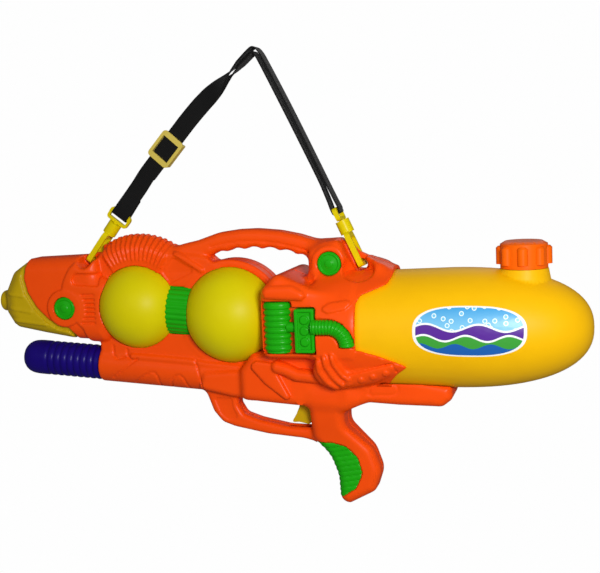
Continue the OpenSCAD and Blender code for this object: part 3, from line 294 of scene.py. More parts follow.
# Swivel clips and adjuster
# Each clip is a moulded acetal loop that turns on the stem of an eye, and the eye's bar holds the webbing.
# The adjuster is a paler nylon frame that slides on both layers.
def eased(name, material, body, rim):
    """A moulding over a CAD node: its faces joined, its sharp rims eased by rim metres, shaded smooth."""
    sharp = math.radians(35)
    mesh = nodes[name].data.copy()
    mesh.materials.clear()
    piece = on_bench(name + "_moulding", mesh)
    bpy.ops.object.mode_set(mode="EDIT")
    bpy.ops.mesh.select_all(action="SELECT")
    bpy.ops.mesh.remove_doubles(threshold=0.000002)
    bpy.ops.mesh.dissolve_limited(angle_limit=math.radians(0.5))
    bpy.ops.object.mode_set(mode="OBJECT")
    if rim:
        round_off = piece.modifiers.new("rims", "BEVEL")
        round_off.width = rim
        round_off.segments = 2
        round_off.limit_method = "ANGLE"
        round_off.angle_limit = sharp
        bpy.ops.object.modifier_apply(modifier=round_off.name)
    bpy.ops.object.shade_smooth_by_angle(angle=sharp)
    level = piece.modifiers.new("faces", "WEIGHTED_NORMAL")
    level.keep_sharp = True
    bpy.ops.object.modifier_apply(modifier=level.name)
    fitted(piece, name, material, body)
    return piece


def moulded(name, main, deep, roughness, ior=1.5):
    """A coloured plastic moulding: slight flow of colour over 25 mm, a mould grain of 1.2 mm, which is drawn
    coarser than the real one so that it shows, and its own gloss."""
    flow_size, grain_size, grain_lift, gloss_change = 0.025, 0.0012, 0.00002, 0.06
    material, tree = blank_finish(name)
    place = add(tree, "TexCoord").outputs["Object"]
    flow = add(tree, "TexNoise", {"Vector": place, "Scale": 1 / flow_size, "Detail": 3.0})
    tone = add(tree, "Mix", {"Factor": flow.outputs["Fac"], 6: colour(deep), 7: colour(main)}, data_type="RGBA")
    fine = add(tree, "TexNoise", {"Vector": place, "Scale": 1 / grain_size, "Detail": 2.0})
    gloss = add(tree, "MapRange", {"Value": fine.outputs["Fac"], "To Min": roughness - gloss_change,
                                   "To Max": roughness + gloss_change})
    lift = add(tree, "Bump", {"Height": fine.outputs["Fac"], "Strength": 0.5, "Distance": grain_lift})
    shade = add(tree, "BsdfPrincipled", {
        "Base Color": tone.outputs[2], "Roughness": gloss.outputs[0], "Normal": lift.outputs[0], "IOR": ior,
        "Specular IOR Level": 0.14})
    add(tree, "OutputMaterial", {"Surface": shade.outputs[0]})
    return material


# Acetal comes from the mould slippery and half glossy. The nylon is duller and straw-coloured.
clip_acetal = moulded("yellow_acetal", "#e4d000", "#d6c000", 0.32, ior=1.48)
adjuster_nylon = moulded("straw_nylon", "#d8c45c", "#c8b04c", 0.38, ior=1.53)
for name, body in (("front_clip_eye", "strap"), ("rear_clip_eye", "strap"),
                   ("front_clip_hook", "front_hook"), ("rear_clip_hook", "rear_hook")):
    eased(name, clip_acetal, body, rim=0.0008)
eased("strap_slider", adjuster_nylon, "slider", rim=0.0005)

# Body shells
# Two halves of orange ABS, moulded with the handle, guard, grip, pump barrel and tank cradle in one and
# screwed together. Every corner is blended, as in a real mould, so one half is worked out as a field of
# distances to its surface, in millimetres, and meshed for each side.
STEP, SHELL_WALL, CLEARANCE = 1.25, 2.5, 0.3
FRONT_GLOBE, FRONT_DOME, REAR_GLOBE, REAR_DOME = (171.0, 25.5), 48, (279.0, 16.0), 54
FRONT_BUTTON, REAR_BUTTON = (89.0, 26.0), (393.0, 71.0)
NOSE_HALF, HEAD_HALF, CUP_ROUND, TANK_ROUND = 26, 24, 65, 60.5
BARREL_MOUTH, BARREL_SLOPE, BARREL_LONG, BARREL_ROUND = (121, -40), math.radians(4.4), 210, 20.5
LUGS, TRIGGER_PIN = ((114, 78), (423.5, 68)), (357, -74)
ELBOW_MIDDLE, ELBOW_BEND, ELBOW_LEVEL = (397, -10), 20, 10


def sampled(step, *spans):
    """Sample places along the toy, out to its side and up, and the same as the three ways of a block."""
    x, t, z = (np.arange(*span, step, dtype=np.float32) for span in spans)
    return x, t, z, x[:, None, None], t[None, :, None], z[None, None, :]


xs, ts, zs, X, T, Z = sampled(STEP, (4.0, 524.0), (-2.5, 74.0), (-198.0, 114.0))


def outline(corners):
    """Points of an outline whose corners (x, z, radius) are rounded, with a point for each 8 degrees."""
    points = []
    for i, (x, z, radius) in enumerate(corners):
        at = np.array((x, z))
        u = np.array(corners[i - 1][:2]) - at
        v = np.array(corners[(i + 1) % len(corners)][:2]) - at
        u, v = u / np.hypot(*u), v / np.hypot(*v)
        half = math.acos(max(-1, min(1, float(u @ v)))) / 2
        if half > math.radians(89.5):
            points.append(at)
            continue
        middle = at + (u + v) / np.hypot(*(u + v)) * radius / math.sin(half)
        a, b = at + u * radius / math.tan(half) - middle, at + v * radius / math.tan(half) - middle
        start = math.atan2(a[1], a[0])
        turn = (math.atan2(b[1], b[0]) - start + math.pi) % (2 * math.pi) - math.pi
        count = max(2, math.ceil(abs(math.degrees(turn)) / 8))
        for k in range(count + 1):
            angle = start + turn * k / count
            points.append(middle + radius * np.array((math.cos(angle), math.sin(angle))))
    return np.array(points, dtype=np.float32)


def across(*corners):
    """Distance to a rounded outline in the side view, below 0 inside it."""
    points = outline(corners)
    px, pz = xs[:, None], zs[None, :]
    nearest = np.full((len(xs), len(zs)), 1e9, dtype=np.float32)
    inside = np.zeros(nearest.shape, dtype=bool)
    for (ax, az), (bx, bz) in zip(points, np.roll(points, -1, axis=0)):
        dx, dz = bx - ax, bz - az
        share = np.clip(((px - ax) * dx + (pz - az) * dz) / max(dx * dx + dz * dz, 1e-9), 0, 1)
        nearest = np.minimum(nearest, (px - ax - share * dx) ** 2 + (pz - az - share * dz) ** 2)
        if az != bz:
            inside ^= ((az > pz) != (bz > pz)) & (px < dx * (pz - az) / dz + ax)
    return np.where(inside, -np.sqrt(nearest), np.sqrt(nearest))[:, None, :]


def line(points, radius):
    """Distance to a stroke of a radius through points of the side view."""
    nearest = None
    for (ax, az), (bx, bz) in zip(points, points[1:]):
        dx, dz = bx - ax, bz - az
        share = np.clip(((X - ax) * dx + (Z - az) * dz) / (dx * dx + dz * dz), 0, 1)
        away = np.hypot(X - ax - share * dx, Z - az - share * dz)
        nearest = away if nearest is None else np.minimum(nearest, away)
    return nearest - radius


def disc(centre, radius):
    """Distance to a circle in the side view."""
    return np.hypot(X - centre[0], Z - centre[1]) - radius


def dome(centre, radius):
    """Distance to a ball on the middle plane."""
    return np.sqrt((X - centre[0]) ** 2 + T**2 + (Z - centre[1]) ** 2) - radius


def shared(*forms):
    """What forms have in common, with sharp edges."""
    return functools.reduce(np.maximum, forms)


def together(*forms):
    """Forms in one, with sharp corners between them."""
    return functools.reduce(np.minimum, forms)


def join(a, b, soft):
    """Both forms in one, with a fillet between them."""
    return np.minimum(a, b) - np.maximum(soft - np.abs(a - b), 0) ** 2 / (4 * soft)


def meet(a, b, soft):
    """What two forms share, with its edges eased."""
    return np.maximum(a, b) + np.maximum(soft - np.abs(a - b), 0) ** 2 / (4 * soft)


def cushion(flat, half, edge):
    """A plate over a side view with round edges, half its thickness on each side of the middle plane."""
    a, b = flat + edge, T - (half - edge)
    return np.minimum(np.maximum(a, b), 0) + np.sqrt(np.maximum(a, 0) ** 2 + np.maximum(b, 0) ** 2) - edge


# Main forms
nose = cushion(across((8, 20, 8), (18, 3, 8), (54, -4, 20), (86, -9.5, 20), (134, -12, 8), (150, 6, 8),
                      (150, 52, 6), (131, 62, 4), (128, 84, 8), (40, 81, 14), (20, 68, 12), (8, 44, 8)),
               half=NOSE_HALF, edge=16)
web = cushion(across((124, -34, 3), (328, -46, 3), (328, 44, 6), (262, 73, 3), (254.5, 79.4, 2),
                     (202.6, 85.6, 4), (150, 84.7, 4), (131.7, 88.3, 3), (122.4, 83.2, 3)), half=16, edge=3)
band = cushion(disc(REAR_GLOBE, 60), half=16, edge=2.5)
handle = across((206, 62, 3), (244, 70, 6), (254, 80, 3), (277, 83.5, 30), (306, 85.6, 60), (335, 83, 40),
                (357, 77, 14), (370, 68, 6), (370, 56, 3), (396, 56, 3), (396, 90, 6), (378, 94, 30),
                (357, 100.8, 40), (335, 105.5, 60), (309, 108, 60), (289, 107.5, 40), (267, 104.8, 30),
                (243, 97, 20), (226, 93.5, 12), (206, 88, 4))
# Finger dents under the handle, along its bow
BOW_MIDDLE, BOW_ROUND, DENT_ROUND, DENT_DEEP, DENT_TURN = (306.3, 85.6 - 169), 169, 15.8, 3.3, 6.5
for i in range(-2, 4):
    angle = math.radians(90 - DENT_TURN * i)
    reach = BOW_ROUND + DENT_DEEP - DENT_ROUND
    middle = (BOW_MIDDLE[0] + reach * math.cos(angle), BOW_MIDDLE[1] + reach * math.sin(angle))
    handle = meet(handle, -disc(middle, DENT_ROUND), 2.5)
handle = cushion(handle, half=13, edge=7)
head = cushion(across((368, 36, 5), (440, 36, 6), (453, 48, 7), (455, 60, 5), (448, 69, 6), (436, 74.5, 6),
                      (422, 81, 7), (412, 91.5, 8), (399, 95.5, 9), (384, 92, 9), (370, 84, 7)),
               half=HEAD_HALF, edge=8)
belly = cushion(across((290, -74.5, 8), (326, -78, 20), (356, -80.5, 6), (400, -83, 9), (414, -74, 12),
                       (420, -26, 9), (330, -20, 9), (304, -24, 9), (290, -42.3, 10)), half=32, edge=9)
under = cushion(across((240, -65, 5), (279, -73, 20), (306, -75.5, 5), (306, -41.6, 5), (246, -46.4, 5)),
                half=24, edge=6)
guard = cushion(across((241, -62, 3), (247, -78, 10), (252, -92, 12), (262, -104, 12), (276, -109, 16),
                       (314, -116.5, 60), (354, -120.5, 40), (376, -126, 5.2), (380, -104, 5.2),
                       (362, -108.8, 3), (337, -108, 30), (304, -101, 30), (287, -95, 9), (280.5, -84, 7),
                       (284, -62, 3)), half=12, edge=5)
# The grip widens by 13.5 mm on its way up to the belly
spread = np.clip((Z + 140) / 68, 0, 1)
grip = cushion(across((364, -60, 8), (365, -118, 12), (383, -138, 40), (391, -160, 30), (392.5, -191, 10.5),
                      (403, -190.5, 10.5), (431, -176, 11), (438.5, -154, 20), (430, -130, 25),
                      (402, -104, 14), (400, -60, 8)),
               half=16.5 + 13.5 * spread**2 * (3 - 2 * spread), edge=9.5)
cradle = cushion(across((400, -86, 6.5), (430, -76.3, 10), (462, -78.4, 60), (507, -79.6, 9), (518, -71, 7.5),
                        (517.4, -57, 5), (470, -47.4, 8), (400, -40, 6.5)), half=30, edge=8.5)
from_mouth, from_level = X - BARREL_MOUTH[0], Z - BARREL_MOUTH[1]
along = from_mouth * math.cos(BARREL_SLOPE) - from_level * math.sin(BARREL_SLOPE)
aside = np.hypot(from_mouth * math.sin(BARREL_SLOPE) + from_level * math.cos(BARREL_SLOPE), T)
barrel = meet(aside - BARREL_ROUND, np.abs(along - BARREL_LONG / 2) - BARREL_LONG / 2, 3)
# The housing turns from a box into the round cup that takes the tank's front
from_axis = np.hypot(T, Z)
box = cushion(across((325, -24, 9), (440, -24, 9), (440, 47, 6), (376, 50, 9), (364, 55.5, 9), (348, 63, 9),
                     (340, 63, 10), (325, 46, 12)), half=58, edge=8)
share = np.clip((X - 372) / 36, 0, 1)
housing = meet(box * (1 - share) + (from_axis - CUP_ROUND) * share, X - 425.4, 1)
housing = join(housing, meet(meet(from_axis - CUP_ROUND, np.abs(X - 400.4) - 21.4, 5), -21.4 - Z, 3), 5)
jaws = together(
    across((420, 30, 1), (426, 33, 3), (430, 40.5, 4), (446, 46.5, 8), (456, 50.7, 5), (459, 57, 4),
           (458, 66, 3), (452, 80, 1), (420, 80, 1)),
    across((420, -80, 1), (456, -80, 1), (456, -51, 3), (466, -40, 3), (477, -32, 1.5), (450, -20.5, 10),
           (430, -14.5, 4), (420, -14, 1)))
cup = meet(from_axis - CUP_ROUND, jaws, 1.2)

# Ribbed arch over the front globe, turned about the globe's centre and bevelled 13 to 12 on its outer edge
ARCH_ROUND, ARCH_INNER, ARCH_FROM, ARCH_TO, RIPPLE_TURN, RIPPLE_HIGH = 78.5, 44, 55, 123, 4.86, 1.7
turn = np.degrees(np.arctan2(Z - FRONT_GLOBE[1], X - FRONT_GLOBE[0]))
out = disc(FRONT_GLOBE, 0)
arch = meet(out - ARCH_ROUND, ((out - ARCH_ROUND) * 13 + (T - 6) * 12) / 17.69, 4)
arch = meet(arch, T - 17 - (out - ARCH_INNER) * 0.089, 5)
ends = shared(out * np.sin(np.radians(ARCH_FROM - turn)), out * np.sin(np.radians(turn - ARCH_TO)))
arch = shared(arch, ARCH_INNER - out, ends)
ripple = np.clip(1.4 * np.cos(np.radians(360 * (turn - 57.4) / RIPPLE_TURN)) + 0.3, 0, 1)
ripple = RIPPLE_HIGH * ripple * np.clip((out - 50) / 3, 0, 1)

base = nose
for form, fillet in ((web, 4), (band, 2), (arch, 2.5), (handle, 5), (under, 3), (barrel, 3), (belly, 6),
                     (grip, 8), (guard, 6), (cradle, 12), (housing, 5), (cup, 0.05), (head, 12)):
    base = join(base, form, fillet)
shell = join(base, arch - ripple, 0.6)

# Raised work: each shape stands a height above its form, with its own edge and a fillet at its foot
claw = across((389, -19, 4), (381, -27, 6), (377.5, -37, 8), (379, -45, 6), (384, -52, 6), (393, -56.6, 8),
              (407, -58, 10), (425, -54.6, 10), (442, -50.2, 10), (460.5, -43, 6), (477, -31, 1.5),
              (463.5, -24.2, 2), (414, -36.5, 4), (407, -19, 3), (400.5, -16.5, 3))
fin = across((306, -34, 3), (311, -30.4, 3), (329, -32.7, 4), (334.5, -45, 8), (347.5, -69.6, 2),
             (343, -72.8, 2), (320, -55, 6), (305.8, -39, 3))
brow = across((327, 46, 4), (331, 38.5, 4), (370.5, 36.3, 3), (376.5, 42, 2), (371, 48, 4), (360, 53.5, 8),
              (331, 53, 5))
leaf = across((388.5, 28, 3), (399, 34.5, 6), (417, 37, 5), (423.5, 34.5, 2), (416, 27.5, 5), (398, 24, 6))
lip = across((116, 92, 2), (106, 79.5, 14), (97, 70.5, 14), (91, 60.5, 14), (87.5, 52, 10), (86, 42, 6),
             (104, 8, 4), (110, 2, 5), (114, -18, 2), (152, -18, 2), (152, 52, 6), (131, 62, 4), (127, 92, 2))
CUFF_ROUND, RIVET_ROUND = 2.7, 3.4
cuffs = together(*(line(stroke, CUFF_ROUND) for stroke in (
    [(385, -24.6), (386.1, -36.5), (392.8, -49.2), (400.6, -56.3)],
    [(392.5, -19.8), (394.4, -31.7), (401.1, -44.3), (408.8, -52.2)],
    [(400.8, -17.9), (403.5, -29.8), (410.3, -40.8), (415.7, -45.6)],
)))
# The pod on the tank's cup is thickest at its bulb and flat at its point
pod = cushion(claw, half=66.5 - 0.4 * np.clip(-18 - Z, 0, 60) - 0.08 * np.clip(X - 430, 0, 50), edge=9)
rivets = together(*(disc(p, RIVET_ROUND) for p in (
    (414.7, -49.9), (428.8, -46.1), (441.4, -42.6), (454.8, -38.9),
)))
strut = line([(220, 84.5), (249, 65.5)], 2.9)
for form, height, shape, edge, fillet in (
    (nose, 2.6, lip, 3, 1.2), (nose, 3, disc(FRONT_BUTTON, 21), 2.5, 1.5),
    (head, 2, disc(REAR_BUTTON, 19), 2.5, 2), (housing, 5, brow, 7, 1.5), (belly, 5, fin, 3, 1.5),
    (housing, 2, leaf, 2, 0.8), (pod, 0, claw - 1, 1, 1.5), (pod, 2.6, cuffs, 2.5, 1),
    (pod, 1.7, rivets, 1.5, 0.6), (web, 2.8, strut, 2, 1.5),
):
    shell = join(shell, meet(form - height, shape, edge), fillet)
# Round bars half sunk in the side: a stroke, how far out it lies, its radius and its fillet
for stroke, aside_by, radius, fillet in (
    ([(163, -30), (194, -32.4), (231, -35.6), (250, -38.8), (302, -43)], 15.5, 4, 1.6),
    ([(335, -36.6), (344, -39.4), (356, -45), (376, -46.9), (384, -44)], 35, 6.9, 2),
):
    bar = np.sqrt(np.maximum(line(stroke, 0), 0) ** 2 + (T - aside_by) ** 2) - radius
    shell = join(shell, bar, fillet)
shell = join(shell, meet(disc((374.3, 59.3), 5.6), base - 1, 1), 0.8)

# Sunk work: each shape goes a depth into its form, with its own edge
PANEL_LINE, GROOVE_PITCH, GROOVE_WIDE = 1.1, 5.2, 2.3
carry_line = shared(np.abs(disc((303, -85), 180.2)) - 1.2, np.abs(X - 314) - 56)
grooves = np.abs((Z - 9.5 + GROOVE_PITCH / 2) % GROOVE_PITCH - GROOVE_PITCH / 2) - GROOVE_WIDE / 2
grooves = shared(grooves, X - 126, np.abs(Z - 25.1) - 18.5, -disc(FRONT_BUTTON, 25), 105 - X)
panels = together(*(line(stroke, PANEL_LINE) for stroke in (
    [(138, -53.5), (153.2, -43.2), (166.5, -33.6), (169, -32)],
    [(139.7, -18.3), (139.3, -24.2), (140.5, -29.6), (144.5, -32.3), (153.5, -30.7)],
    [(156.2, -21.8), (155.6, -26.5), (157.2, -30.7), (161.5, -33.1)],
    [(161.7, -60.6), (174.1, -51.9), (184.4, -46.9), (189.4, -47.3), (192.2, -53), (191.9, -64)],
    [(204.9, -64.5), (208.4, -55.4), (213.7, -50.6), (218.6, -50.1), (222.2, -53.1), (226, -66)],
    [(236.9, -34.9), (240, -44), (242.6, -55.7), (246.1, -66)],
)))
nose_field = across((100, 58, 3), (104, 64.5, 4), (131, 64, 3), (131, 50, 3), (101, 52.5, 3))
web_field = across((203, 64, 3), (216, 80, 3), (241, 64.5, 3), (211, 50.5, 3))
cradle_loop = across((421, -62.4, 6), (432, -67, 10), (457, -66.7, 10), (467, -58.5, 5), (450, -52, 10))
guard_field = across((254, -76.5, 2), (274, -77.3, 2), (275.5, -88, 4), (281, -99, 4), (270, -102, 5),
                     (261, -95, 5))
pod_line = line([(416, -39.5), (440, -33.6), (462, -27.8), (465, -37)], 1.0)
for form, depth, shape, edge in (
    (nose, -0.4, grooves, 0.8), (nose, 0.4, nose_field, 2.5), (shell, 1.2, panels, 0.8),
    (web, 1.5, web_field, 1), (handle, 1.2, carry_line, 1), (cradle, 0.9, np.abs(cradle_loop) - 1.0, 0.8),
    (guard, 1.2, guard_field, 1), (pod, 1, pod_line, 0.8),
):
    shell = meet(shell, -shared(shape, -(form + depth)), edge)

# Pockets for the trims, buttons and clips, each with a wall behind it
BUTTON_SEAT, BUTTON_PEG = 12.8, 3.3
LUG_ROUND, LUG_HOLE, LUG_THICK, SCOOP_LONG, SCOOP_ROUND = 13, 6, 4, 44, 8
SCREW_BOSS, SCREW_HOLE, SCREW_HEAD = 6, 1.8, 3.5
# A screw's place, and how far out its boss reaches
SCREWS = ((64, 70, 21.5), (112, -1, 19.5), (150, 90, 15.5), (306, 97, 11), (378, 84, 18), (389, -106, 15.5),
          (424, -160, 13.5), (490, -72, 29), (262, -96, 9))
elbow_way = np.where(X > ELBOW_MIDDLE[0], np.abs(disc(ELBOW_MIDDLE, ELBOW_BEND)), np.abs(Z - ELBOW_LEVEL))
insert = across((375, -182.5, 1), (396, -182.5, 5), (411, -173, 10), (419, -156, 14), (414, -138, 14),
                (402, -126, 12), (386, -121.5, 8), (368, -122.5, 1))
pockets = together(
    shared(across((326.5, -19, 2), (384.5, -19, 2), (384.5, 30, 2), (359, 30, 1), (359, 36, 2), (326.5, 36, 2)),
           50 - T),
    shared(elbow_way - 8.4, 382 - X, -11 - Z, 60.2 - T),
    shared(insert, -(grip + 2)),
    shared(disc(FRONT_BUTTON, BUTTON_SEAT), NOSE_HALF - 2 - T),
    shared(disc(FRONT_BUTTON, BUTTON_PEG), NOSE_HALF - 7 - T),
    shared(disc(REAR_BUTTON, BUTTON_SEAT), HEAD_HALF - 2 - T),
    shared(disc(REAR_BUTTON, BUTTON_PEG), HEAD_HALF - 7 - T),
)
scoops = np.sqrt((X - 424) ** 2 + (Z - 66) ** 2 + (T - 25) ** 2) - 16.5
for (x, z), lean in zip(LUGS, (math.radians(52), math.radians(114))):
    far_end = (x + SCOOP_LONG * math.cos(lean), z + SCOOP_LONG * math.sin(lean))
    scoops = join(scoops, shared(line([(x, z), far_end], SCOOP_ROUND), LUG_THICK - T), 3)
scoops = shared(scoops, 64.2 - np.where(X > 400, from_axis, 99))

# Hollow, bosses, saddle and lugs
hollow = shared(shared(base, shell) + SHELL_WALL, SHELL_WALL - together(pockets, scoops))
shell = shared(meet(shared(shell, -pockets), -scoops, 4), -hollow)
bosses = [shared(disc((x, z), SCREW_BOSS), T - reach, base + 1) for x, z, reach in SCREWS]
bosses += [shared(disc(p, LUG_ROUND), T - LUG_THICK, base) for p in LUGS]
pin_boss = shared(disc(TRIGGER_PIN, 5), np.abs(T - 19) - 12.5)
saddle = shared(aside - 19.5, np.abs(along - 113.5) - 1.5)
shell = together(shell, pin_boss, saddle, *bosses)

# What passes the shells
muzzle_end = across((-5, 100, 1), (-5, -30, 1), (100, -30, 1), (98, -4, 4), (92, 3.5, 4), (80, 5.5, 8),
                    (67, 14, 8), (54, 27, 10), (44, 44, 10), (40.5, 60, 8), (44, 80, 8), (44, 100, 1))
globe_way = (REAR_GLOBE[0] - FRONT_GLOBE[0], REAR_GLOBE[1] - FRONT_GLOBE[1])
span = math.hypot(*globe_way)
globe_way = (globe_way[0] / span, globe_way[1] / span)
on_collar = (X - FRONT_GLOBE[0]) * globe_way[0] + (Z - FRONT_GLOBE[1]) * globe_way[1]
on_collar = on_collar - (span + FRONT_DOME - REAR_DOME) / 2
off_collar = np.hypot((X - FRONT_GLOBE[0]) * globe_way[1] - (Z - FRONT_GLOBE[1]) * globe_way[0], T)
FRONT_RIM, REAR_RIM, RIM_DEEP, TANK_FRONT, TANK_EDGE = 48.8, 55.0, 13.5, 429.5, 18
tank_room = TANK_ROUND + 0.7 + np.clip((X - 430) / 90, 0, 1) * 2
a, b = from_axis - (tank_room - TANK_EDGE), TANK_FRONT - X
tank_room = np.minimum(np.maximum(a, b), 0) + np.hypot(np.maximum(a, 0), np.maximum(b, 0)) - TANK_EDGE
holes = [
    muzzle_end,
    dome(FRONT_GLOBE, FRONT_DOME + CLEARANCE), shared(disc(FRONT_GLOBE, FRONT_RIM + 0.4), T - RIM_DEEP),
    dome(REAR_GLOBE, REAR_DOME + CLEARANCE), shared(disc(REAR_GLOBE, REAR_RIM + 0.4), T - RIM_DEEP),
    shared(off_collar - 30.3, np.abs(on_collar) - 25),
    tank_room,
    shared(np.abs(X - 356.5) - 20.5, np.abs(Z + 81) - 31, T - 5.4),  # trigger
    shared(aside - 9, np.abs(along - 2) - 3),  # pump rod, at the mouth
    shared(aside - 14.3, np.abs(along - 64) - 63),  # pump cylinder
    shared(np.hypot(T, Z + 54) - 9.3, np.abs(X - 322) - 30),  # valve
    shared(disc(TRIGGER_PIN, 2.3), T - 15),
]
holes += [disc(p, LUG_HOLE) for p in LUGS]
holes += [shared(disc((x, z), SCREW_HOLE), T - 7.5) for x, z, reach in SCREWS]
for hole in holes + [T]:
    shell = shared(shell, -hole)


def skin(field):
    """Points and quads of the surface where a field crosses zero, with a point in each crossed cell."""
    solid = field < 0
    nx, nt, nz = (n - 1 for n in field.shape)
    corner_count = np.zeros((nx, nt, nz), dtype=np.int8)
    for i, j, k in np.ndindex(2, 2, 2):
        corner_count += solid[i : i + nx, j : j + nt, k : k + nz]
    cells = np.argwhere((corner_count > 0) & (corner_count < 8))
    number = np.full(corner_count.shape, -1, dtype=np.int32)
    number[tuple(cells.T)] = np.arange(len(cells))
    total = np.zeros((len(cells), 3))
    hits = np.zeros((len(cells), 1))
    for axis in range(3):
        others = [n for n in range(3) if n != axis]
        for u, v in np.ndindex(2, 2):
            low = cells.copy()
            low[:, others[0]] += u
            low[:, others[1]] += v
            high = low.copy()
            high[:, axis] += 1
            a, b = field[tuple(low.T)], field[tuple(high.T)]
            passes = (a < 0) != (b < 0)
            share = np.where(passes, a / np.where(passes, a - b, 1), 0)
            spot = low.astype(float)
            spot[:, axis] += share
            total += np.where(passes[:, None], spot, 0)
            hits += passes[:, None]
    points = total / hits
    faces = []
    for axis in range(3):
        p, q = (axis + 1) % 3, (axis + 2) % 3
        first = [slice(None)] * 3
        second = [slice(None)] * 3
        first[axis], second[axis] = slice(None, -1), slice(1, None)
        a, b = solid[tuple(first)], solid[tuple(second)]
        for spots, flip in ((np.argwhere(a & ~b), False), (np.argwhere(~a & b), True)):
            ring = []
            for u, v in ((0, 0), (1, 0), (1, 1), (0, 1)):
                cell = spots.copy()
                cell[:, p] -= u
                cell[:, q] -= v
                ring.append(number[tuple(cell.T)])
            quad = np.stack(ring, axis=1)
            faces.append(quad[:, ::-1] if flip else quad)
    return points, np.concatenate(faces)


def cast(name, field, start, flip):
    """An object from a field whose first sample is at start, in millimetres, and its points in samples; flip
    puts it on the left."""
    points, faces = skin(field)
    mesh = bpy.data.meshes.new(name + "_moulding")
    mesh.from_pydata(((np.array(start) + points * STEP) / 1000 - np.array(HANG)).tolist(), [],
                     (faces[:, ::-1] if flip else faces).tolist())
    if flip:
        mesh.transform(Matrix.Scale(-1, 4, Vector((0, 1, 0))))
    return on_bench(name + "_moulding", mesh), points


def refinish(material, *names):
    """A finish for CAD nodes that keep their mesh."""
    for name in names:
        nodes[name].data.materials.clear()
        nodes[name].data.materials.append(material)


# ABS takes an even half gloss from a polished mould. The side that is hidden inside gets fewer, larger faces.
FIELD_SMOOTH, HIDDEN_DEPTH, SHELL_FACES = math.radians(50), 1.9, 95000
shell_abs = moulded("orange_abs", "#fb5207", "#f24a05", 0.33, ior=1.53)
for name in ("left_shell", "right_shell"):
    half = shell
    if name == "right_shell":
        for x, z, reach in SCREWS:
            half = shared(half, -shared(disc((x, z), SCREW_HEAD), 7 - T))
    piece, points = cast(name, half, (xs[0], ts[0], zs[0]), name == "left_shell")
    hidden = piece.vertex_groups.new(name="hidden_side")
    hidden.add(np.flatnonzero(base[tuple(points.astype(int).T)] < -HIDDEN_DEPTH).tolist(), 1.0, "REPLACE")
    thin = piece.modifiers.new("hidden_side_thinned", "DECIMATE")
    thin.ratio = min(1.0, SHELL_FACES / len(piece.data.polygons))
    thin.vertex_group = hidden.name
    bpy.ops.object.modifier_apply(modifier=thin.name)
    piece.vertex_groups.clear()
    bpy.ops.object.shade_smooth_by_angle(angle=FIELD_SMOOTH)
    fitted(piece, name, shell_abs, "gun")
# Zinc plating is a pale grey metal with a soft shine.
screw_steel = moulded("zinc_plated_steel", "#b9bcc0", "#a4a7ab", 0.35)
screw_steel.node_tree.nodes["Principled BSDF"].inputs["Metallic"].default_value = 1.0
refinish(screw_steel, "shell_screws")

# Muzzle and nozzle
# The muzzle is an ABS cap that plugs into the nose, in a deeper yellow than the globes and as glossy as the
# shells. It carries on the nose's form, with a sunk neck at the joint and ribs along each side, and the water
# leaves by the turned nozzle in its tip.
NOZZLE_LEVEL, MUZZLE_WALL, NOZZLE_ROOM, FLANGE_ROOM = 32, 5, 12.1, 14.4
SET_BACK, MUZZLE_SAMPLES, MIDDLE_SAMPLE = 4, 90, 2
muzzle_abs = moulded("lemon_abs", "#c8a806", "#bc9c04", 0.36, ior=1.53)
front = np.roll(nose, SET_BACK, axis=0)
muzzle = meet(front + 0.2, muzzle_end + 4.6, 1.5)
for rib in ([(20, 26.5), (46.4, 21.7)], [(22, 12.3), (63.5, 7.1)], [(14, 43), (37.6, 39.9)]):
    muzzle = join(muzzle, meet(meet(front - 1, line(rib, 1.8), 1.2), muzzle_end + 6, 1), 0.8)
muzzle = together(muzzle, shared(nose + 2.9, muzzle_end - 7))
bore = np.hypot(T, Z - NOZZLE_LEVEL)
muzzle = shared(muzzle, -MUZZLE_WALL - shared(front, nose), NOZZLE_ROOM - bore)
muzzle = shared(muzzle, -shared(bore - FLANGE_ROOM, np.abs(X - 27.4) - 14.7))[:MUZZLE_SAMPLES]
muzzle = np.concatenate((muzzle[:, :MIDDLE_SAMPLE:-1], muzzle[:, MIDDLE_SAMPLE:]), axis=1)
piece = cast("muzzle", muzzle, (xs[0], -ts[-1], zs[0]), False)[0]
bpy.ops.object.shade_smooth_by_angle(angle=FIELD_SMOOTH)
fitted(piece, "muzzle", muzzle_abs, "gun")


def turned(name, profile, steps, tip, slope=0):
    """A piece turned from a profile of (radius, distance behind its tip) in millimetres, on an axis that
    slopes down to the rear. A profile that starts off the axis is closed to a ring."""
    count = len(profile)
    mesh = bpy.data.meshes.new(name)
    mesh.from_pydata([(r / 1000, 0, s / 1000) for r, s in profile],
                     [(i, (i + 1) % count) for i in range(count if profile[0][0] else count - 1)], [])
    piece = on_bench(name, mesh)
    spun = piece.modifiers.new("turned", "SCREW")
    spun.steps = spun.render_steps = steps
    spun.use_merge_vertices = True
    spun.merge_threshold = 0.000001
    bpy.ops.object.modifier_apply(modifier=spun.name)
    bpy.ops.object.mode_set(mode="EDIT")
    bpy.ops.mesh.select_all(action="SELECT")
    bpy.ops.mesh.remove_doubles(threshold=0.000002)
    bpy.ops.mesh.normals_make_consistent(inside=False)
    bpy.ops.object.mode_set(mode="OBJECT")
    piece.data.transform(Matrix([(math.sin(slope), 0, math.cos(slope), tip.x), (0, -1, 0, tip.y),
                                 (math.cos(slope), 0, -math.sin(slope), tip.z), (0, 0, 0, 1)]))
    return piece


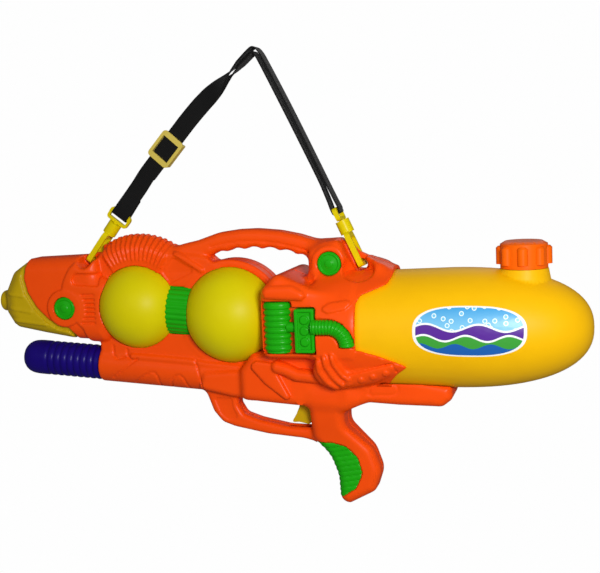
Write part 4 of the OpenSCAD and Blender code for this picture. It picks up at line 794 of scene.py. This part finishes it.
nozzle_profile = [(1.5, 1.4), (4, 1.4), (5, 0), (8.6, 0), (9.8, 0.35), (10.6, 0.9), (11.4, 2), (11.8, 3.4),
                  (11.8, 13), (14, 13), (14, 16), (6, 16), (6, 25), (2.7, 25), (2.7, 38), (1.9, 38),
                  (1.9, 10), (1.5, 10)]
piece = turned("nozzle_tip", nozzle_profile, 72, Vector((0, 0, NOZZLE_LEVEL)) / 1000 - HANG)
bpy.ops.object.shade_smooth_by_angle(angle=math.radians(35))
fitted(piece, "nozzle", muzzle_abs, "gun")

# Globes and buttons
# The globes are thin domes of lemon-yellow polypropylene with a dull gloss, clipped in behind the web. The
# round buttons are green ABS, glossier, and pressed into the shells.
globe_pp = moulded("lemon_polypropylene", "#dcd000", "#d2c400", 0.42, ior=1.49)
green_abs = moulded("green_abs", "#1fb010", "#189c0a", 0.3, ior=1.53)
for side in ("left", "right"):
    eased("front_globe_" + side, globe_pp, "gun", rim=0)
    eased("rear_globe_" + side, globe_pp, "gun", rim=0)
    eased("front_button_" + side, green_abs, "gun", rim=0.0002)
    eased("rear_button_" + side, green_abs, "gun", rim=0.0002)

# Grip inserts
# Green ABS pads with broad ribs, pressed into a pocket on each side of the grip. Their face follows the
# grip's own form.
RIB_PITCH, RIB_HEIGHT, RIB_LEAN = 5.6, 0.9, math.radians(10)
climb = Z * math.cos(RIB_LEAN) - X * math.sin(RIB_LEAN)
pad = RIB_HEIGHT * np.abs(np.cos(math.pi * climb / RIB_PITCH))
pad = shared(grip + 0.5 - pad, -1.7 - grip, insert + CLEARANCE, 0.1 - T)


def pair(name, field):
    """A left and a right piece of green ABS from one field."""
    for side in ("left", "right"):
        piece = cast(name + "_" + side, field, (xs[0], ts[0], zs[0]), side == "left")[0]
        bpy.ops.object.shade_smooth_by_angle(angle=FIELD_SMOOTH)
        fitted(piece, name + "_" + side, green_abs, "gun")


pair("grip_insert", pad)

# Collar
# A fluted half ring of green ABS on each side, between the two globes. It bears on both domes and on the
# edge of the web behind them, and gets a finer field than the shells.
COLLAR_ROUND, COLLAR_WALL, FLUTES, FLUTE_DEEP = 30.0, 2.0, 15, 0.9
STEP = 0.6
xs, ts, zs, X, T, Z = sampled(STEP, (200.0, 246.0), (8.0, 33.0), (-14.0, 57.0))
aslant = (X - FRONT_GLOBE[0]) * globe_way[1] - (Z - FRONT_GLOBE[1]) * globe_way[0]
ring = np.hypot(aslant, T) - COLLAR_ROUND
collar = meet(ring + FLUTE_DEEP * np.abs(np.sin(FLUTES * np.arctan2(aslant, T))) ** 3, 10 - T, 0.6)
collar = shared(collar, -COLLAR_WALL - ring)
for p, radius in ((FRONT_GLOBE, FRONT_DOME), (REAR_GLOBE, REAR_DOME)):
    collar = meet(collar, -dome(p, radius + CLEARANCE), 0.5)
pair("collar", collar)

# Engine trim
# One green ABS moulding on each side of the housing: a ringed bellows, a framed plate with three studs beside
# it, and a ribbed elbow that runs back from the plate and turns down. It has as fine a field as the collar.
RING_PITCH, RING_DEPTH, RING_TOP, TRIM_BACK, FRAME_TOP, STUD_ROUND = 6.2, 1.5, 27.4, 50.3, 64, 4.6
ELBOW_PITCH, ELBOW_ROUND, ELBOW_RIB, ELBOW_BACK = 3.3, 6.9, 1.1, 60.5
xs, ts, zs, X, T, Z = sampled(STEP, (325.0, 428.0), (48.0, 73.0), (-22.0, 39.0))
rings = RING_DEPTH * (1 - np.abs(np.sin(math.pi * (Z + 16) / RING_PITCH)) ** 0.8)
rings = np.where(Z > RING_TOP, RING_DEPTH * np.clip(1 - np.abs(Z - RING_TOP) / 1.4, 0, 1), rings)
bellows = (np.sqrt(((X - 342) / 14.6) ** 2 + ((T - 50) / 11) ** 2 + 1e-6) - 1) * 11 + rings
bellows = meet(meet(bellows, np.abs(Z - 8.5) - 27, 4), TRIM_BACK - T, 0.3)
neck = shared(np.hypot(T - 54, Z - 9) - 5.4, np.abs(X - 359) - 6)
frame_edge = across((363, -16.5, 2), (383.6, -16.5, 2), (383.6, 29, 2), (363, 29, 2))
stud_plate = meet(meet(frame_edge, T - FRAME_TOP, 0.8), TRIM_BACK - T, 0.3)
stud_plate = meet(stud_plate, -shared(frame_edge + 3.4, 61.8 - T), 0.6)
for z in (17.5, 6.2, -5.1):
    stud_plate = join(stud_plate, meet(disc((373.3, z), STUD_ROUND), T - FRAME_TOP, 1.2), 0.6)
bent, bend_x, bend_z = X > ELBOW_MIDDLE[0], X - ELBOW_MIDDLE[0], Z - ELBOW_MIDDLE[1]
elbow = np.where(bent, np.abs(disc(ELBOW_MIDDLE, ELBOW_BEND)), np.abs(Z - ELBOW_LEVEL))
run = np.where(bent, ELBOW_BEND * np.arctan2(bend_x, bend_z), bend_x)
ribs = ELBOW_RIB * np.abs(np.cos(math.pi * run / ELBOW_PITCH)) ** 0.7
elbow = np.hypot(elbow, T - 62.5) - ELBOW_ROUND - ribs
elbow = shared(elbow, ELBOW_BACK - T, 381 - X, np.where(bent, run - 31.4, -99))
trim = together(join(join(bellows, neck, 1), stud_plate, 0.8), elbow)
pair("engine_trim", shared(trim, TRIM_BACK - T))

# Tank and filler cap
# The tank is blow-moulded polyethylene, golden yellow and slightly waxy. The cap is orange polypropylene
# with eight lobes for the fingers, and seals on a rubber ring.
tank_pe = moulded("golden_polyethylene", "#f6bd00", "#f0b400", 0.45, ior=1.51)
tank_piece = eased("tank", tank_pe, "gun", rim=0)

# A film label on the tank's left side, with waves and bubbles on a pale blue field inside a white edge.
# It is drawn flat, laid on the tank and given its thickness.
LABEL_CENTRE, LABEL_LONG, LABEL_HIGH, LABEL_TILT = Vector((540, -90, 5)), 112, 50, math.radians(-1)
LABEL_RINGS, LABEL_SPOKES, LABEL_SQUARE, LABEL_UNIT, FILM_THICK = 40, 160, 2.7, 50, 0.00015
points, faces = [LABEL_CENTRE / 1000 - HANG], []
flat = [(0.0, 0.0, 0.0)]
for ring in range(1, LABEL_RINGS + 1):
    for spoke in range(LABEL_SPOKES):
        c, d = math.cos(2 * math.pi * spoke / LABEL_SPOKES), math.sin(2 * math.pi * spoke / LABEL_SPOKES)
        u = LABEL_LONG / 2 * math.copysign(abs(c) ** (2 / LABEL_SQUARE), c) * ring / LABEL_RINGS
        v = LABEL_HIGH / 2 * math.copysign(abs(d) ** (2 / LABEL_SQUARE), d) * ring / LABEL_RINGS
        flat.append((u, v, ring / LABEL_RINGS))
        spot = Vector((u * math.cos(LABEL_TILT) - v * math.sin(LABEL_TILT), 0,
                       u * math.sin(LABEL_TILT) + v * math.cos(LABEL_TILT)))
        points.append((LABEL_CENTRE + spot) / 1000 - HANG)
        after = (spoke + 1) % LABEL_SPOKES
        outer = 1 + (ring - 1) * LABEL_SPOKES
        inner = outer - LABEL_SPOKES
        faces.append((0, outer + spoke, outer + after) if ring == 1 else
                     (inner + spoke, outer + spoke, outer + after, inner + after))
mesh = bpy.data.meshes.new("tank_label")
mesh.from_pydata(points, [], faces)
sheet, edge = mesh.uv_layers.new(name="artwork"), mesh.uv_layers.new(name="edge")
for loop in mesh.loops:
    u, v, reach = flat[loop.vertex_index]
    sheet.data[loop.index].uv = (u / LABEL_UNIT, v / LABEL_UNIT)
    edge.data[loop.index].uv = (reach, 0)
label = on_bench("tank_label", mesh)
lay = label.modifiers.new("laid_on", "SHRINKWRAP")
lay.target = tank_piece
lay.wrap_method = "PROJECT"
lay.use_project_y = True
lay.use_positive_direction, lay.use_negative_direction = True, False
lay.offset = 0.0001
bpy.ops.object.modifier_apply(modifier=lay.name)
film = label.modifiers.new("film", "SOLIDIFY")
film.thickness, film.offset = FILM_THICK, 1
bpy.ops.object.modifier_apply(modifier=film.name)
bpy.ops.object.shade_smooth_by_angle(angle=math.radians(40))

# Printed polypropylene film: flat inks under a clear gloss. The artwork's unit is 50 mm, so a bubble's cell
# is 10 mm. Each ink is laid over the last where its mask is 1.
label_film, tree = blank_finish("printed_film")
artwork = add(tree, "UVMap", uv_map="artwork").outputs[0]
at = add(tree, "SeparateXYZ", {0: artwork})
reach = add(tree, "SeparateXYZ", {0: add(tree, "UVMap", uv_map="edge").outputs[0]})
fade = add(tree, "MapRange", {"Value": at.outputs["Y"], "From Min": -0.1, "From Max": 0.5})
ink = add(tree, "Mix", {"Factor": fade.outputs[0], 6: colour("#8fd3f0"), 7: colour("#3f9fdc")},
          data_type="RGBA").outputs[2]
bubbles = add(tree, "TexVoronoi", {"Vector": artwork, "Scale": 5.0, "Randomness": 0.9},
              voronoi_dimensions="2D").outputs["Distance"]
masks = []
for size, code in ((0.24, "#e8f6fc"), (0.15, "#79c6ea")):
    spot = add(tree, "Math", {0: bubbles, 1: size}, operation="LESS_THAN")
    masks.append((spot.outputs[0], code))
for rate, start, height, level, code in (
    (6, 0.4, 0.07, 0.1, "#f4f7f4"), (6, 0.4, 0.07, 0.06, "#5a2c96"),
    (7.5, 2.0, 0.06, -0.11, "#f4f7f4"), (7.5, 2.0, 0.06, -0.15, "#3f9f3a"), (9, 4.0, 0.05, -0.29, "#1f5fae"),
):
    angle = add(tree, "Math", {0: at.outputs["X"], 1: rate, 2: start}, operation="MULTIPLY_ADD")
    swing = add(tree, "Math", {0: angle.outputs[0]}, operation="SINE")
    crest = add(tree, "Math", {0: swing.outputs[0], 1: height, 2: level}, operation="MULTIPLY_ADD")
    below = add(tree, "Math", {0: at.outputs["Y"], 1: crest.outputs[0]}, operation="LESS_THAN")
    masks.append((below.outputs[0], code))
white_edge = add(tree, "Math", {0: reach.outputs["X"], 1: 0.945}, operation="GREATER_THAN")
masks.append((white_edge.outputs[0], "#f2f2ee"))
for mask, code in masks:
    ink = add(tree, "Mix", {"Factor": mask, 6: ink, 7: colour(code)}, data_type="RGBA").outputs[2]
shade = add(tree, "BsdfPrincipled", {
    "Base Color": ink, "Roughness": 0.3, "Specular IOR Level": 0.25, "IOR": 1.49})
add(tree, "OutputMaterial", {"Surface": shade.outputs[0]})
label.data.materials.append(label_film)
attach(label, "gun")

# The cap's polypropylene is half glossy, and the rubber of its seal is black and dull.
cap_pp = moulded("orange_polypropylene", "#fb6a04", "#f26000", 0.36, ior=1.49)
eased("filler_cap", cap_pp, "filler_cap", rim=0.0006)
seal_rubber = moulded("black_rubber", "#1c1c1c", "#151515", 0.6)
refinish(seal_rubber, "cap_seal")

# Pump
# The handle is a hollow grip of dark violet polypropylene with finger rings, half glossy, glued on a grey
# acetal rod. The rod works a piston with a rubber ring in a white ABS cylinder behind the barrel's mouth.
HANDLE_LONG, HANDLE_ROUND, HANDLE_BORE, MOUTH_GAP = 97.0, 19.5, 14.7, 1
HANDLE_RINGS, RING_PITCH, RING_DEEP = 8, 8.0, 1.3
SOCKET_BORE, SOCKET_ROUND, SOCKET_END = 4.2, 7.2, 41
handle_pp = moulded("violet_polypropylene", "#1d0a7c", "#16066a", 0.3, ior=1.49)
profile = [(0, 0), (5, 0.3), (9, 1.3), (12.4, 3), (15.3, 5.6), (17.4, 8.8), (18.7, 12.6), (19.3, 17),
           (HANDLE_ROUND, 22)]
for i in range(HANDLE_RINGS * 10 + 1):
    profile.append((HANDLE_ROUND - RING_DEEP * (0.5 - 0.5 * math.cos(math.pi * i / 5)) ** 2,
                    HANDLE_LONG - 3 - RING_PITCH * (HANDLE_RINGS - i / 10)))
profile += [(18.6, HANDLE_LONG), (HANDLE_BORE, HANDLE_LONG), (HANDLE_BORE, 12), (SOCKET_ROUND, 12),
            (SOCKET_ROUND, SOCKET_END), (SOCKET_BORE, SOCKET_END), (SOCKET_BORE, 8), (0, 8)]
barrel_way = Vector((math.cos(BARREL_SLOPE), 0, -math.sin(BARREL_SLOPE)))
mouth = Vector((BARREL_MOUTH[0], 0, BARREL_MOUTH[1])) / 1000 - HANG
tip = mouth - (HANDLE_LONG + MOUTH_GAP) / 1000 * barrel_way
piece = turned("pump_handle_grip", profile, 96, tip, BARREL_SLOPE)
bpy.ops.object.shade_smooth_by_angle(angle=math.radians(40))
fitted(piece, "pump_handle", handle_pp, "pump")
# White ABS and grey acetal have a plain half gloss, and show only where the rod comes out.
white_abs = moulded("white_abs", "#e9e9e4", "#dededa", 0.35)
grey_acetal = moulded("grey_acetal", "#8b8d90", "#7d7f82", 0.38)
refinish(grey_acetal, "pump_rod", "piston", "rod_guide")
refinish(seal_rubber, "piston_ring")
refinish(white_abs, "pump_cylinder", "pump_head")
refinish(screw_steel, "valve_balls")

# Trigger and valve
# The trigger is yellow ABS like the muzzle and turns on a steel pin. It pushes the valve's acetal rod in its
# white body, against a coil spring of steel wire.
eased("trigger", muzzle_abs, "trigger", rim=0.0004)
refinish(screw_steel, "trigger_pin")
refinish(white_abs, "valve_body")
refinish(grey_acetal, "valve_rod")
coil = eased("valve_spring", screw_steel, "gun", rim=0)
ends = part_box("valve_spring")
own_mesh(coil)

# Hoses
# Milky PVC tube with a wet-looking gloss. It runs inside the shells, from tank to pump, pump to valve and
# valve to nozzle, and is pushed on their nipples.
hose_pvc = moulded("milky_pvc", "#e6e8e2", "#d9dcd4", 0.3)
refinish(hose_pvc, "intake_hose", "delivery_hose", "nozzle_tube")
